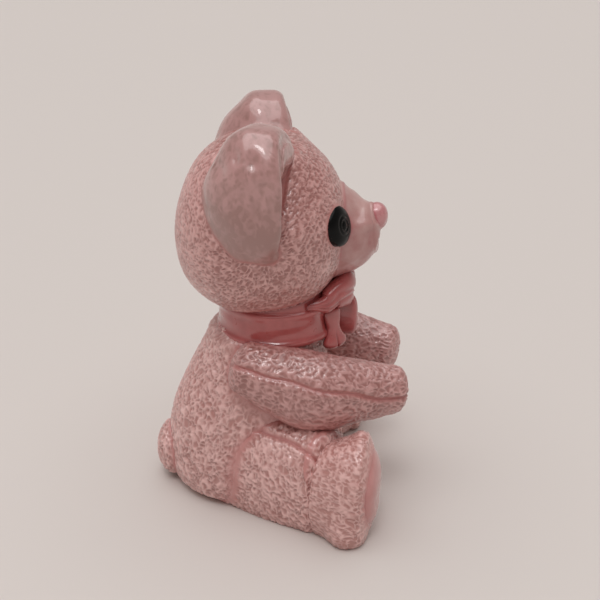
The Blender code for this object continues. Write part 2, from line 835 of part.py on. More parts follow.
def add_face(bear):
    """The muzzle, nose, eyes and ears, each seated on the skin of the head."""
    head = bear.seat("head", head_loft(0.0))
    muzzle = bear.seat("muzzle", muzzle_loft())
    bear.piece("muzzle", muzzle_loft(), MUZZLE_GLAZE, (head,))
    bear.piece("nose", nose_loft(), NOSE_GLAZE, (muzzle,))
    for name, sign in SIDES:
        hollow = bear.cutter(f"ear_hollow_{name}", ear_hollow(sign))
        bear.piece(f"eye_{name}", eye_loft(sign), EYE_GLAZE, (head, muzzle))
        bear.piece(f"ear_{name}", ear_loft(sign), FUR_GLAZE, (head, hollow))


def add_limbs(bear):
    """The tail, arms, thighs and feet, each seated on the torso or on the piece before it."""
    torso = bear.seat("torso", torso_loft())
    ground = bear.cutter("ground_plane", ground_loft())
    bear.piece("tail", tail_loft(), FUR_GLAZE, (torso, ground))
    for name, sign in SIDES:
        leg = bear.seat(f"leg_{name}", leg_loft(sign))
        pad = bear.seat(f"sole_pad_{name}", pad_loft(sign))
        bear.piece(f"arm_{name}", arm_loft(sign), FUR_GLAZE, (torso, leg))
        bear.piece(f"leg_{name}", leg_loft(sign), FUR_GLAZE, (torso, ground))
        bear.piece(f"foot_{name}", foot_loft(sign), FUR_GLAZE, (ground, pad, leg))
        bear.piece(f"sole_pad_{name}", pad_loft(sign), PAD_GLAZE)


def add_ribbon(bear):
    """The neck ribbon, and its bow of a knot, two loops and two tail ends."""
    arms = tuple(bear.seat(f"arm_{name}", arm_loft(sign)) for name, sign in SIDES)
    torso = bear.seat("torso", torso_loft())
    head = bear.seat("head", head_loft(0.0))
    muzzle = bear.seat("muzzle", muzzle_loft())
    ribbon = bear.seat("ribbon", ribbon_loft())
    knot = bear.seat("bow_knot", knot_loft())
    bear.piece("ribbon_band", ribbon_loft(), RIBBON_GLAZE, (torso, head, *arms))
    bear.piece("bow_knot", knot_loft(), RIBBON_GLAZE, (ribbon, torso, muzzle))
    for name, sign in SIDES:
        loop = bear.seat(f"bow_loop_{name}", LOOP.loft(sign))
        loop_cuts = (ribbon, knot, head, muzzle)
        bear.piece(f"bow_loop_{name}", LOOP.loft(sign), RIBBON_GLAZE, loop_cuts)
        tail_cuts = (ribbon, knot, loop, torso)
        bear.piece(f"bow_tail_{name}", TAIL_END.loft(sign), RIBBON_GLAZE, tail_cuts)


def build():
    for old in list(bpy.data.objects):
        bpy.data.objects.remove(old, do_unlink=True)
    bear = Figurine()
    add_castings(bear)
    add_face(bear)
    add_limbs(bear)
    add_ribbon(bear)
    bear.centre()


build()
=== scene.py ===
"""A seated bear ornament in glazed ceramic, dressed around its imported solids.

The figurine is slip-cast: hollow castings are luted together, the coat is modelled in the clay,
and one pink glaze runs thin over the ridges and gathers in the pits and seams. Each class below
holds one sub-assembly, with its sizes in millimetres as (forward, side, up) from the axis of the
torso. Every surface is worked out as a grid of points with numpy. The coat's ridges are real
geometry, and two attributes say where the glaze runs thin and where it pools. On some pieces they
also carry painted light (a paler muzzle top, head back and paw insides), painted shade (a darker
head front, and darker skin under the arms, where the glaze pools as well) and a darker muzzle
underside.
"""

import itertools
import logging
import math
from collections.abc import Iterable
from dataclasses import dataclass, replace
from enum import Enum
from typing import Protocol

import bpy
import numpy as np
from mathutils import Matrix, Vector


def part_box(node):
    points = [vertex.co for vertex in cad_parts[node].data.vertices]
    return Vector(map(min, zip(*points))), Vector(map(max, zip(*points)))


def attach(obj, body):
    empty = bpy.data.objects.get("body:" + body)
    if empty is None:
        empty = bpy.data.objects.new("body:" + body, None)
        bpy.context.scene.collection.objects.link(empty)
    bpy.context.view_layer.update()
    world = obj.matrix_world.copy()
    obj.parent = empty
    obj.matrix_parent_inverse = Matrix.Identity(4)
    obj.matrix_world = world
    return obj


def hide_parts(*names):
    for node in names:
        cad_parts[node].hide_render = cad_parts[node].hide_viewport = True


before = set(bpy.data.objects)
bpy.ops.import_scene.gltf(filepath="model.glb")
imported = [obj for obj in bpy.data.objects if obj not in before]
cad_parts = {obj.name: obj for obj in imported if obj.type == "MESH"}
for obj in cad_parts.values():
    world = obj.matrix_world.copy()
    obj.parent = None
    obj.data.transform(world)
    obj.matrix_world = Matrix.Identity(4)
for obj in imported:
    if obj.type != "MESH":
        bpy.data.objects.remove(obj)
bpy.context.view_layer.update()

LOG = logging.getLogger("bear")
MM = 0.001
FAR = 99.0
TINY = 1e-6
QUARTER_TURN = 0.5 * math.pi
ASIDE = np.array([1.0, 0.0, 0.0])
BACK = np.array([0.0, 1.0, 0.0])
UP = np.array([0.0, 0.0, 1.0])

# The wanted distance between neighbours on a surface and on a limb, and how many sections of
# a loft and of the torso are worked out.
CELL = 0.42
LIMB_CELL = 0.4
SPINE_SAMPLES = 56
PROFILE_SAMPLES = 400

# How many places of pits are drawn, what is added to a coat's seed for its other ripples, and
# how the waves of all ripples differ in length.
PIT_PLACES = 4096
PUSH_SEED = 20
BREAK_SEED = 30
WAVE_LENGTHS = (0.8, 1.2)

# The coat's height that leaves the surface where it was, how near a joint it is gone, how
# much the glaze pools in a limb's seam, and the square of how softly a surface meets the
# ground.
COAT_LEVEL = 0.4
JOINT_EDGE = 0.05
SEAM_POOLED = 0.8
GROUND_SOFTNESS = 0.02

# The width in millimetres and the detail of a glaze's three noises: of its colour, of its
# roughness and of its surface. The roughness strays between two shares of its own.
CLOUD = (5.0, 3.0)
SMEARS = (2.0, 2.0)
GRAIN = (0.6, 3.0)
ROUGHNESS_RANGE = (0.8, 1.25)

# A span is where an ease starts and ends, or the middle and the spread of a bump.
Array = np.ndarray
Row = tuple[float, ...]
Rows = tuple[Row, ...]
Span = tuple[float, float]
Triple = tuple[float, float, float]
Colour = tuple[float, float, float]
Socket = bpy.types.NodeSocket
Outputs = bpy.types.NodeOutputs
Inputs = dict[str | int, Socket | Colour | float]


class Side(Enum):
    """The two sides of the bear."""

    RIGHT = "right"
    LEFT = "left"

    @property
    def sign(self) -> float:
        """The sign of this side along the width of the bear."""
        return 1.0 if self is Side.LEFT else -1.0


class Slot(Enum):
    """The record's material slots."""

    FUR = "fur_glaze"
    MUZZLE = "muzzle_glaze"
    PAD = "pad_glaze"
    RIBBON = "ribbon_glaze"
    NOSE = "nose_glaze"
    EYE = "eye_glaze"


def unit(vectors: Array) -> Array:
    """Vectors scaled to a length of one."""
    return vectors / np.maximum(np.linalg.norm(vectors, axis=-1, keepdims=True), 1e-9)


def ease(values: Array, low: float, high: float) -> Array:
    """A smooth step: 0 below low, 1 above high, and 3t^2 - 2t^3 of the share between."""
    share = np.clip((values - low) / (high - low), 0.0, 1.0)
    return share * share * (3.0 - 2.0 * share)


def bump(values: Array, middle: float, spread: float) -> Array:
    """A soft hump of height one: e to the minus square of the distance over the spread."""
    return np.exp(-(((values - middle) / spread) ** 2))


def smooth(rows: list[Row], count: int) -> Array:
    """Even values along the smooth curve through some rows.

    Each value between two rows is the cubic that meets both, with slopes that are half the
    difference of the rows on either side.

    Args:
        rows: The values that the curve passes through.
        count: How many values to work out.

    Returns:
        An array of count rows.
    """
    values = np.array(rows, dtype=float)
    slopes = np.gradient(values, axis=0)
    last = len(values) - 1
    places = np.linspace(0.0, last, count)
    index = np.minimum(places.astype(int), last - 1)
    t = (places - index)[:, None]
    start, end = values[index], values[index + 1]
    return (
        start * (2 * t**3 - 3 * t**2 + 1)
        + slopes[index] * (t**3 - 2 * t**2 + t)
        + end * (3 * t**2 - 2 * t**3)
        + slopes[index + 1] * (t**3 - t**2)
    )


def evenly(path: Array, gap: float) -> Array:
    """The rows of a path, resampled so that neighbours lie about one gap apart.

    Args:
        path: Rows whose first two columns are a place in millimetres.
        gap: The wanted distance between rows.

    Returns:
        The resampled rows, with every column interpolated.
    """
    steps = np.linalg.norm(np.diff(path[:, :2], axis=0), axis=1)
    run = np.concatenate([[0.0], np.cumsum(steps)])
    count = max(int(round(run[-1] / gap)) + 1, 2)
    wanted = np.linspace(0.0, run[-1], count)
    return np.stack([np.interp(wanted, run, column) for column in path.T], axis=1)


def between(first: Array, last: Array, count: int) -> Array:
    """Rings evenly between two rings, without the two themselves."""
    share = np.linspace(0.0, 1.0, count + 2)[1:-1, None, None]
    return first + (last - first) * share


def facing(side: Side, turn: float) -> Array:
    """The level way that lies an angle outwards from straight ahead."""
    return np.array([side.sign * math.sin(turn), -math.cos(turn), 0.0])


def oval(angles: Array, width: Array, height: Array, squareness: Array | float) -> Array:
    """The radius of a squarish oval along some directions from its middle.

    The radius is one over the p-th root of (|cos|/width)^p + (|sin|/height)^p.

    Args:
        angles: The directions, one for each column.
        width: The half width of each row.
        height: The half height of each row.
        squareness: The power p of each row or of all: 2 is an ellipse, more is squarer.

    Returns:
        The radii, as rows and columns.
    """
    power = np.asarray(squareness, dtype=float).reshape(-1, 1)
    wide = (np.abs(np.cos(angles)) / np.reshape(width, (-1, 1))) ** power
    high = (np.abs(np.sin(angles)) / np.reshape(height, (-1, 1))) ** power
    return (wide + high) ** (-1.0 / power)


def quarter(length: float, radius: float, gap: float, power: float = 2.0) -> tuple[Array, Array]:
    """The rows of a dome, from the ring next to its foot to the one next to its pole.

    A row at angle a stands length times (sin a)^(2/p) along, and is (cos a)^(2/p) as wide as
    the foot.

    Args:
        length: How far the dome stands out.
        radius: The radius of its foot.
        gap: The wanted distance between rows.
        power: The power p: 2 is an ellipse, more is squarer.

    Returns:
        How far along each row is, and its share of the foot's width.
    """
    count = max(int(math.ceil(0.5 * math.pi * max(radius, length) / gap)), 3)
    angles = np.linspace(0.0, 0.5 * math.pi, count + 1)[1:-1]
    return length * np.sin(angles) ** (2.0 / power), np.cos(angles) ** (2.0 / power)


@dataclass
class Skin:
    """A fine closed surface, as rows of points that run round it.

    With looped set the last row joins the first, as on a ring or a walled vessel. Otherwise a
    point closes each end. The glaze's two attributes have one value for each point.
    """

    points: Array
    angles: Array
    looped: bool = False
    # Besides the glaze's thickness, both attributes carry painted light and painted shade.
    ridge_and_painted_light: Array | None = None
    pool: Array | None = None

    def normals(self) -> Array:
        """The outward directions: the cross product of the two directions along the grid.

        Returns:
            One way for each point, of a length of one.
        """
        around = np.roll(self.points, -1, axis=1) - np.roll(self.points, 1, axis=1)
        if self.looped:
            along = np.roll(self.points, -1, axis=0) - np.roll(self.points, 1, axis=0)
        else:
            along = np.gradient(self.points, axis=0)
        cross = np.cross(around, along)
        middle = self.points.mean(axis=(0, 1))
        volume = float(np.sum((self.points - middle) * cross))
        return unit(cross) * (1.0 if volume > 0.0 else -1.0)

    def ripples(self, length: float, seed: int) -> Array:
        """Smooth random ripples at every point.

        Args:
            length: The length of the waves.
            seed: The seed of their directions and phases.

        Returns:
            One value for each point, as rows and columns.
        """
        return ripples(self.points.reshape(-1, 3), length, seed).reshape(self.points.shape[:2])

    def shares(self) -> Array:
        """How far along the rows each row is, from 0 to 1, as a column."""
        return np.linspace(0.0, 1.0, len(self.points))[:, None]


class Form(Protocol):
    """A form that can say how far a place is from its surface."""

    def clearance(self, points: Array) -> Array:
        """The distance of each point outside the form, less than nothing inside it."""


@dataclass(frozen=True)
class Section:
    """One oval section that a loft passes through."""

    forward: float
    side: float
    up: float
    half_width: float
    half_height: float
    squareness: float = 2.0

    def values(self) -> Row:
        """The section in the row's own axes: x, y, z, half width, half height, squareness."""
        return (self.side, -self.forward, self.up, self.half_width, self.half_height, self.squareness)


def sided(side: Side, rows: Iterable[Row], squareness: float = 2.0) -> tuple[Section, ...]:
    """Sections on one side, from rows of forward, aside, up, half width and half height."""
    return tuple(Section(row[0], side.sign * row[1], *row[2:], squareness) for row in rows)


@dataclass(frozen=True)
class Loft:
    """Oval sections carried along a smooth curve and closed by domes.

    With turns the sections stand upright and turn evenly in plan, from the first angle to the
    last. Otherwise they stand square to the curve.
    """

    sections: tuple[Section, ...]
    start_dome: float
    end_dome: float
    turns: Span | None = None
    cell: float = CELL
    end_power: float = 2.0

    def spine(self, count: int) -> tuple[Array, Array, Array, Array]:
        """The sections along the curve.

        Args:
            count: How many sections to work out.

        Returns:
            Their values, and the directions along, across and over each of them.
        """
        values = smooth([section.values() for section in self.sections], count)
        if self.turns:
            turn = np.linspace(*self.turns, count)
            level = np.zeros(count)
            along = np.stack([np.sin(turn), -np.cos(turn), level], axis=1)
            across = np.stack([np.cos(turn), np.sin(turn), level], axis=1)
            return values, along, across, np.tile(UP, (count, 1))
        along = unit(np.gradient(values[:, :3], axis=0))
        across = unit(np.cross(UP, along))
        return values, along, across, np.cross(along, across)

    def skin(self) -> Skin:
        """The fine surface: each ring is its centre plus the oval's radius along each direction.

        Returns:
            The plain surface.
        """
        rough = smooth([section.values() for section in self.sections], SPINE_SAMPLES)
        length = float(np.linalg.norm(np.diff(rough[:, :3], axis=0), axis=1).sum())
        count = max(int(round(length / self.cell)) + 1, 3)
        values, along, across, over = self.spine(count)
        index, ahead, scale = [np.arange(count)], [np.zeros(count)], [np.ones(count)]
        feet = np.sqrt(values[:, 3] * values[:, 4])
        places, shares = quarter(self.start_dome, float(feet[0]), self.cell)
        index.insert(0, np.zeros(len(places), int))
        ahead.insert(0, -places[::-1])
        scale.insert(0, shares[::-1])
        places, shares = quarter(self.end_dome, float(feet[-1]), self.cell, self.end_power)
        index.append(np.full(len(places), count - 1))
        ahead.append(places)
        scale.append(shares)
        row = np.concatenate(index)
        reach, share = np.concatenate(ahead), np.concatenate(scale)
        girth = float(np.max(np.pi * (values[:, 3] + values[:, 4])))
        angles = np.linspace(0.0, 2.0 * math.pi, int(girth / self.cell) + 1, endpoint=False)
        radius = oval(angles, values[row, 3], values[row, 4], values[row, 5]) * share[:, None]
        centres = values[row, :3] + along[row] * reach[:, None]
        return Skin(ring_points(centres, across[row], over[row], radius, angles), angles)

    def clearance(self, points: Array) -> Array:
        """The distance outside the nearest section's oval, or outside the dome at an end.

        Args:
            points: The places.

        Returns:
            The distances, less than nothing inside.
        """
        values, along, across, over = self.spine(SPINE_SAMPLES)
        centres = values[:, :3]
        squares = (centres**2).sum(-1) - 2.0 * points @ centres.T
        index = squares.argmin(-1)
        offset = points - centres[index]
        ahead = (offset * along[index]).sum(-1)
        wide = np.abs((offset * across[index]).sum(-1))
        high = np.abs((offset * over[index]).sum(-1))
        first, last = index == 0, index == SPINE_SAMPLES - 1
        beyond = np.maximum(np.where(last, ahead, np.where(first, -ahead, 0.0)), 0.0)
        dome = np.where(last, self.end_dome, self.start_dome)
        power = values[index, 5]
        ratio = (wide / values[index, 3]) ** power + (high / values[index, 4]) ** power
        ratio = np.sqrt(ratio ** (2.0 / power) + (beyond / dome) ** 2)
        away = np.sqrt(wide**2 + high**2 + beyond**2)
        return away - away / np.maximum(ratio, TINY)


@dataclass(frozen=True)
class Ball:
    """A squarish ball, whose grid has its poles at the two sides."""

    forward: float
    side: float
    up: float
    half_depth: float
    half_width: float
    half_height: float
    squareness: float = 2.0
    cell: float = CELL

    def centre(self) -> Array:
        """The middle of the ball."""
        return np.array([self.side, -self.forward, self.up])

    def ratio(self, offsets: Array) -> Array:
        """How far out offsets from the middle lie, as a share of the surface's distance.

        It is the p-th root of (|x|/width)^p + (|y|/depth)^p + (|z|/height)^p.
        """
        sizes = np.array([self.half_width, self.half_depth, self.half_height])
        return ((np.abs(offsets) / sizes) ** self.squareness).sum(-1) ** (1.0 / self.squareness)

    def skin(self) -> Skin:
        """The surface along every direction: the direction divided by its own ratio.

        Returns:
            The plain surface.
        """
        girth = math.pi * (self.half_depth + self.half_height)
        columns = int(girth / self.cell)
        angles = np.linspace(0.0, 2.0 * math.pi, columns, endpoint=False)
        polar = np.linspace(0.0, math.pi, columns // 2 + 1)[1:-1, None]
        aside = np.broadcast_to(-np.cos(polar), (len(polar), columns))
        ways = [aside, np.sin(polar) * np.cos(angles), np.sin(polar) * np.sin(angles)]
        ways = np.stack(ways, axis=-1)
        points = self.centre() + ways / self.ratio(ways)[..., None]
        return Skin(points, angles)

    def clearance(self, points: Array) -> Array:
        """The distance outside the surface, along the line from the middle.

        Args:
            points: The places.

        Returns:
            The distances, less than nothing inside.
        """
        offsets = points - self.centre()
        away = np.linalg.norm(offsets, axis=-1)
        return away - away / np.maximum(self.ratio(offsets), TINY)

    def front(self, side: float, up: float) -> float:
        """How far forward the skin is at a place on the front, solved from the ratio.

        Args:
            side: How far to the side.
            up: A height.

        Returns:
            How far forward the skin is.
        """
        power = self.squareness
        wide = (abs(side) / self.half_width) ** power
        high = (abs(up - self.up) / self.half_height) ** power
        return self.forward + self.half_depth * (1.0 - wide - high) ** (1.0 / power)


def ring_points(centres: Array, across: Array, over: Array, radius: Array, angles: Array) -> Array:
    """Rings of points: the centre, plus the radius times cos across and sin over.

    Args:
        centres: The middle of each ring.
        across: The direction at angle 0, of each ring or of all of them.
        over: The direction at a right angle, likewise.
        radius: The radius of every point, as rows and columns.
        angles: The angle of each column.

    Returns:
        The points, as rows, columns and coordinates.
    """
    wide = (radius * np.cos(angles))[..., None] * np.atleast_2d(across)[:, None]
    high = (radius * np.sin(angles))[..., None] * np.atleast_2d(over)[:, None]
    return centres[:, None] + wide + high


@dataclass(frozen=True)
class Stack:
    """Oval rings stacked along a straight axis, such as an ear, an eye or a ribbon.

    The profile's columns are the distance along the axis, the half width and the half height.
    """

    origin: Array
    along: Array
    across: Array
    over: Array
    profile: Array
    squareness: float = 2.0
    looped: bool = False
    cell: float = CELL

    def skin(self) -> Skin:
        """The fine surface: each ring is an oval about its place on the axis.

        Returns:
            The plain surface.
        """
        girth = float(np.max(np.pi * (self.profile[:, 1] + self.profile[:, 2])))
        angles = np.linspace(0.0, 2.0 * math.pi, int(girth / self.cell) + 1, endpoint=False)
        radius = oval(angles, self.profile[:, 1], self.profile[:, 2], self.squareness)
        centres = self.origin + self.profile[:, :1] * self.along
        points = ring_points(centres, self.across, self.over, radius, angles)
        return Skin(points, angles, self.looped)


def ripples(points: Array, length: float, seed: int, count: int = 24) -> Array:
    """Smooth random ripples: a sum of plane waves of about one length in seeded directions.

    Args:
        points: The places, as rows of coordinates.
        length: The length of the waves.
        seed: The seed of their directions and phases.
        count: How many waves are summed.

    Returns:
        One value for each place, with a spread of about one round zero.
    """
    draw = np.random.default_rng(seed)
    ways = unit(draw.normal(size=(count, 3)))
    lengths = length * draw.uniform(*WAVE_LENGTHS, count)
    phases = draw.uniform(0.0, 2.0 * math.pi, count)
    waves = 2.0 * math.pi * ways / lengths[:, None]
    return np.cos(points @ waves.T + phases).sum(-1) * math.sqrt(2.0 / count)


@dataclass(frozen=True)
class Coat:
    """The modelled coat: a net of raised ridges round small pits.

    Attributes:
        spacing: How far apart the pits lie.
        height: How far the ridges stand above the pits.
        softness: How wide the ridges are, as a share of the spacing.
        grain: The direction that the pits are drawn out along.
        stretch: How many times longer than wide the pits are.
        seed: The seed of the pits' places.
        jitter: How far a pit strays within its own cube, as a share of it.
        push: How far the ripples push a place, in spacings.
        push_length: The length of those ripples, in spacings.
        break_length: The length of the ripples that break the ridges, in spacings.
        break_span: The values of those ripples between which a ridge is whole again.
        broken: How high a broken ridge still is.
        crown: How high a whole ridge is before it is cut off at 1.
        pit_rise: How far the ground rises away from the middle of a pit.
        pit_radius: Over which distance it does so, in spacings.
    """

    spacing: float
    height: float
    softness: float = 0.24
    grain: Triple = (0.0, 0.0, 1.0)
    stretch: float = 1.3
    seed: int = 1
    jitter: float = 0.9
    push: float = 0.22
    push_length: float = 2.2
    break_length: float = 1.3
    break_span: Span = (-0.9, 0.5)
    broken: float = 0.45
    crown: float = 1.15
    pit_rise: float = 0.15
    pit_radius: float = 0.6

    def beside(self, side: Side) -> "Coat":
        """The coat of one of two pieces: the left one has the next seed."""
        return replace(self, seed=self.seed + (side is Side.LEFT))

    def pits(self, points: Array) -> tuple[Array, Array]:
        """The distance to the nearest and second nearest pit, in spacings.

        Space is cut into cubes of one spacing with one pit in each, at a seeded place, and
        every point looks at the pits of its own cube and of the cubes around it.

        Args:
            points: The places, as rows of coordinates.

        Returns:
            The two distances of each place.
        """
        draw = np.random.default_rng(self.seed)
        size = PIT_PLACES
        order = draw.permutation(size)
        places = 0.5 + self.jitter * (draw.random((size, 3)) - 0.5)
        scaled = points / self.spacing
        base = np.floor(scaled).astype(np.int64)
        first = np.full(len(points), FAR)
        second = np.full(len(points), FAR)
        for offset in itertools.product((-1, 0, 1), repeat=3):
            cell = base + np.array(offset)
            key = order[(order[cell[:, 0] % size] + cell[:, 1]) % size]
            key = order[(key + cell[:, 2]) % size]
            away = np.linalg.norm(cell + places[key] - scaled, axis=-1)
            second = np.minimum(second, np.maximum(first, away))
            first = np.minimum(first, away)
        return first, second

    def ridges(self, points: Array) -> Array:
        """How high the coat is at each place, from 0 in a pit to 1 on a ridge.

        The place is first pushed about by ripples, so that the ridges wander. The height is one
        less the difference of the distances to the two nearest pits over the softness, eased.
        More ripples lower it here and there, which breaks the net into worm-like strokes.

        Args:
            points: The places, as rows of coordinates.

        Returns:
            The heights.
        """
        grain = unit(np.array(self.grain))
        along = points @ grain
        place = points - (1.0 - 1.0 / self.stretch) * along[:, None] * grain
        seeds = range(self.seed + PUSH_SEED, self.seed + PUSH_SEED + 3)
        pushes = [ripples(place, self.push_length * self.spacing, seed) for seed in seeds]
        first, second = self.pits(place + self.push * self.spacing * np.stack(pushes, axis=-1))
        wall = ease(second - first, self.softness, 0.0)
        breaks = ripples(place, self.break_length * self.spacing, self.seed + BREAK_SEED)
        whole = self.broken + (1.0 - self.broken) * ease(breaks, *self.break_span)
        ground = self.pit_rise * ease(first, 0.0, self.pit_radius)
        return np.clip(self.crown * wall * whole + ground, 0.0, 1.0)


class Recipe:
    """The nodes of one glaze's material, and the few ways in which they are joined."""

    def __init__(self, material: bpy.types.Material) -> None:
        """Takes up the nodes of a new material.

        Args:
            material: The material, with its nodes in use.
        """
        self.nodes = material.node_tree.nodes
        self.links = material.node_tree.links
        self.surface = self.nodes["Principled BSDF"]
        self.place = self.nodes.new("ShaderNodeTexCoord").outputs["Object"]

    def feed(self, node: bpy.types.Node, inputs: Inputs) -> None:
        """Links a node's inputs to other nodes, or sets their values.

        Args:
            node: The node.
            inputs: What goes into each input, by its name or number.
        """
        for name, value in inputs.items():
            if isinstance(value, Socket):
                self.links.new(value, node.inputs[name])
            else:
                node.inputs[name].default_value = (*value, 1.0) if isinstance(value, tuple) else value

    def add(self, kind: str, inputs: Inputs, **options: str | bool) -> Outputs:
        """Adds a node.

        Args:
            kind: The node's type.
            inputs: What goes into each input, by its name or number.
            options: The node's own settings.

        Returns:
            Its outputs.
        """
        node = self.nodes.new(kind)
        for name, value in options.items():
            setattr(node, name, value)
        self.feed(node, inputs)
        return node.outputs

    def noise(self, size: float, detail: float) -> Socket:
        """A noise in space, mostly from 0.3 to 0.7, with features this wide in millimetres."""
        inputs = {"Vector": self.place, "Scale": 1.0 / (size * MM), "Detail": detail}
        return self.add("ShaderNodeTexNoise", inputs)["Fac"]

    def spread(self, value: Socket, low: float, high: float) -> Socket:
        """A noise's value, spread evenly so that 0.3 becomes low and 0.7 becomes high."""
        inputs = {"Value": value, "From Min": 0.3, "From Max": 0.7, "To Min": low, "To Max": high}
        return self.add("ShaderNodeMapRange", inputs)["Result"]

    def blend(self, share: Socket, first: Socket | Colour, second: Socket | Colour) -> Socket:
        """A mix of two colours, by the share of the second one."""
        inputs = {"Factor": share, "A": first, "B": second}
        return self.add("ShaderNodeMix", inputs, data_type="RGBA")["Result"]

    def measure(self, name: str) -> Socket:
        """One of the surface's own attributes."""
        return self.add("ShaderNodeAttribute", {}, attribute_name=name)["Fac"]

    def total(self, first: Socket, second: Socket) -> Socket:
        """The sum of two values, kept between 0 and 1."""
        return self.add("ShaderNodeMath", {0: first, 1: second}, operation="ADD", use_clamp=True)["Value"]

    def unevenness(self, height: float, size: float, detail: float) -> Socket:
        """The surface's direction over bumps this high and this wide, in millimetres."""
        inputs = {"Strength": 1.0, "Distance": height * MM, "Height": self.noise(size, detail)}
        return self.add("ShaderNodeBump", inputs)["Normal"]


@dataclass(frozen=True)
class Glaze:
    """One fired glaze, and how its colour changes with its thickness.

    Attributes:
        name: The material's name.
        thin: The colour over a ridge.
        thick: The colour in a pit.
        pooled_and_painted_shade: The colour where it gathers in a seam; it is also laid as painted shade
            under the arms.
        roughness: The roughness of the body under the clear coat.
        coat: The weight of the clear coat.
        gloss: The roughness of the clear coat.
        mottle: How much the colour strays.
        grit: The height of the fine unevenness, in millimetres.
        shine: The body's own specular level.
        bending: The clear coat's index of refraction.
    """

    name: str
    thin: Colour
    thick: Colour
    pooled_and_painted_shade: Colour
    roughness: float = 0.42
    coat: float = 0.9
    gloss: float = 0.05
    mottle: float = 0.35
    grit: float = 0.03
    shine: float = 0.5
    bending: float = 1.6

    def material(self) -> bpy.types.Material:
        """The node material, made once.

        A cloudy noise strays the share of the thin colour, and the pooled colour lies over it.
        Both shares also carry painted light and painted shade from some pieces.
        A finer noise strays the roughness, and the finest gives the unevenness.

        Returns:
            The material.
        """
        made = bpy.data.materials.get(self.name)
        if made:
            return made
        made = bpy.data.materials.new(self.name)
        made.use_nodes = True
        recipe = Recipe(made)
        cloud = recipe.spread(recipe.noise(*CLOUD), -self.mottle, self.mottle)
        thin = recipe.total(recipe.measure("ridge_and_painted_light"), cloud)
        colour = recipe.blend(thin, self.thick, self.thin)
        smoothest, roughest = (share * self.roughness for share in ROUGHNESS_RANGE)
        inputs = {
            "Base Color": recipe.blend(recipe.measure("pool"), colour, self.pooled_and_painted_shade),
            "Roughness": recipe.spread(recipe.noise(*SMEARS), smoothest, roughest),
            "Normal": recipe.unevenness(self.grit, *GRAIN),
            "Specular IOR Level": self.shine,
            "Coat Weight": self.coat,
            "Coat Roughness": self.gloss,
            "Coat IOR": self.bending,
        }
        recipe.feed(recipe.surface, inputs)
        return made


FUR = Glaze(
    name="fur_pink",
    thin=(0.605, 0.322, 0.305),
    thick=(0.33, 0.129, 0.113),
    pooled_and_painted_shade=(0.48, 0.14, 0.13),
    gloss=0.08,
    mottle=0.22,
    grit=0.045,
)
HEAD_FUR = replace(FUR, name="head_pink", thin=(0.715, 0.398, 0.376), thick=(0.365, 0.145, 0.128))
# Painted light: the body's copy of the glaze is paler, for the floor's bounce onto the lower body.
BOUNCE_LIT_BODY_FUR = replace(FUR, name="body_pink_bounce_lit", thin=(0.815, 0.505, 0.477), thick=(0.475, 0.216, 0.193))
SMOOTH_FUR = replace(
    FUR,
    name="ear_pink",
    thin=(0.50, 0.27, 0.257),
    thick=(0.345, 0.178, 0.159),
    mottle=0.5,
    grit=0.03,
)
SNOUT = Glaze(
    name="muzzle_pink",
    thin=(0.58, 0.375, 0.35),
    thick=(0.39, 0.145, 0.138),
    pooled_and_painted_shade=(0.42, 0.10, 0.11),
    mottle=0.3,
)
SOLE = Glaze(
    name="sole_rose",
    thin=(0.575, 0.252, 0.238),
    thick=(0.50, 0.183, 0.174),
    pooled_and_painted_shade=(0.40, 0.09, 0.09),
    roughness=0.36,
)
BAND = Glaze(
    name="ribbon_rose",
    thin=(0.46, 0.094, 0.092),
    thick=(0.32, 0.048, 0.046),
    pooled_and_painted_shade=(0.22, 0.022, 0.022),
    roughness=0.34,
)
NOSE_TIP = Glaze(
    name="nose_rose",
    thin=(0.60, 0.28, 0.29),
    thick=(0.50, 0.18, 0.19),
    pooled_and_painted_shade=(0.42, 0.07, 0.09),
    roughness=0.3,
)
BLACK = Glaze(
    name="eye_black",
    thin=(0.005, 0.005, 0.005),
    thick=(0.003, 0.003, 0.003),
    pooled_and_painted_shade=(0.02, 0.01, 0.01),
    roughness=0.1,
    coat=0.0,
    gloss=0.03,
    mottle=0.1,
    grit=0.0,
    shine=0.14,
)


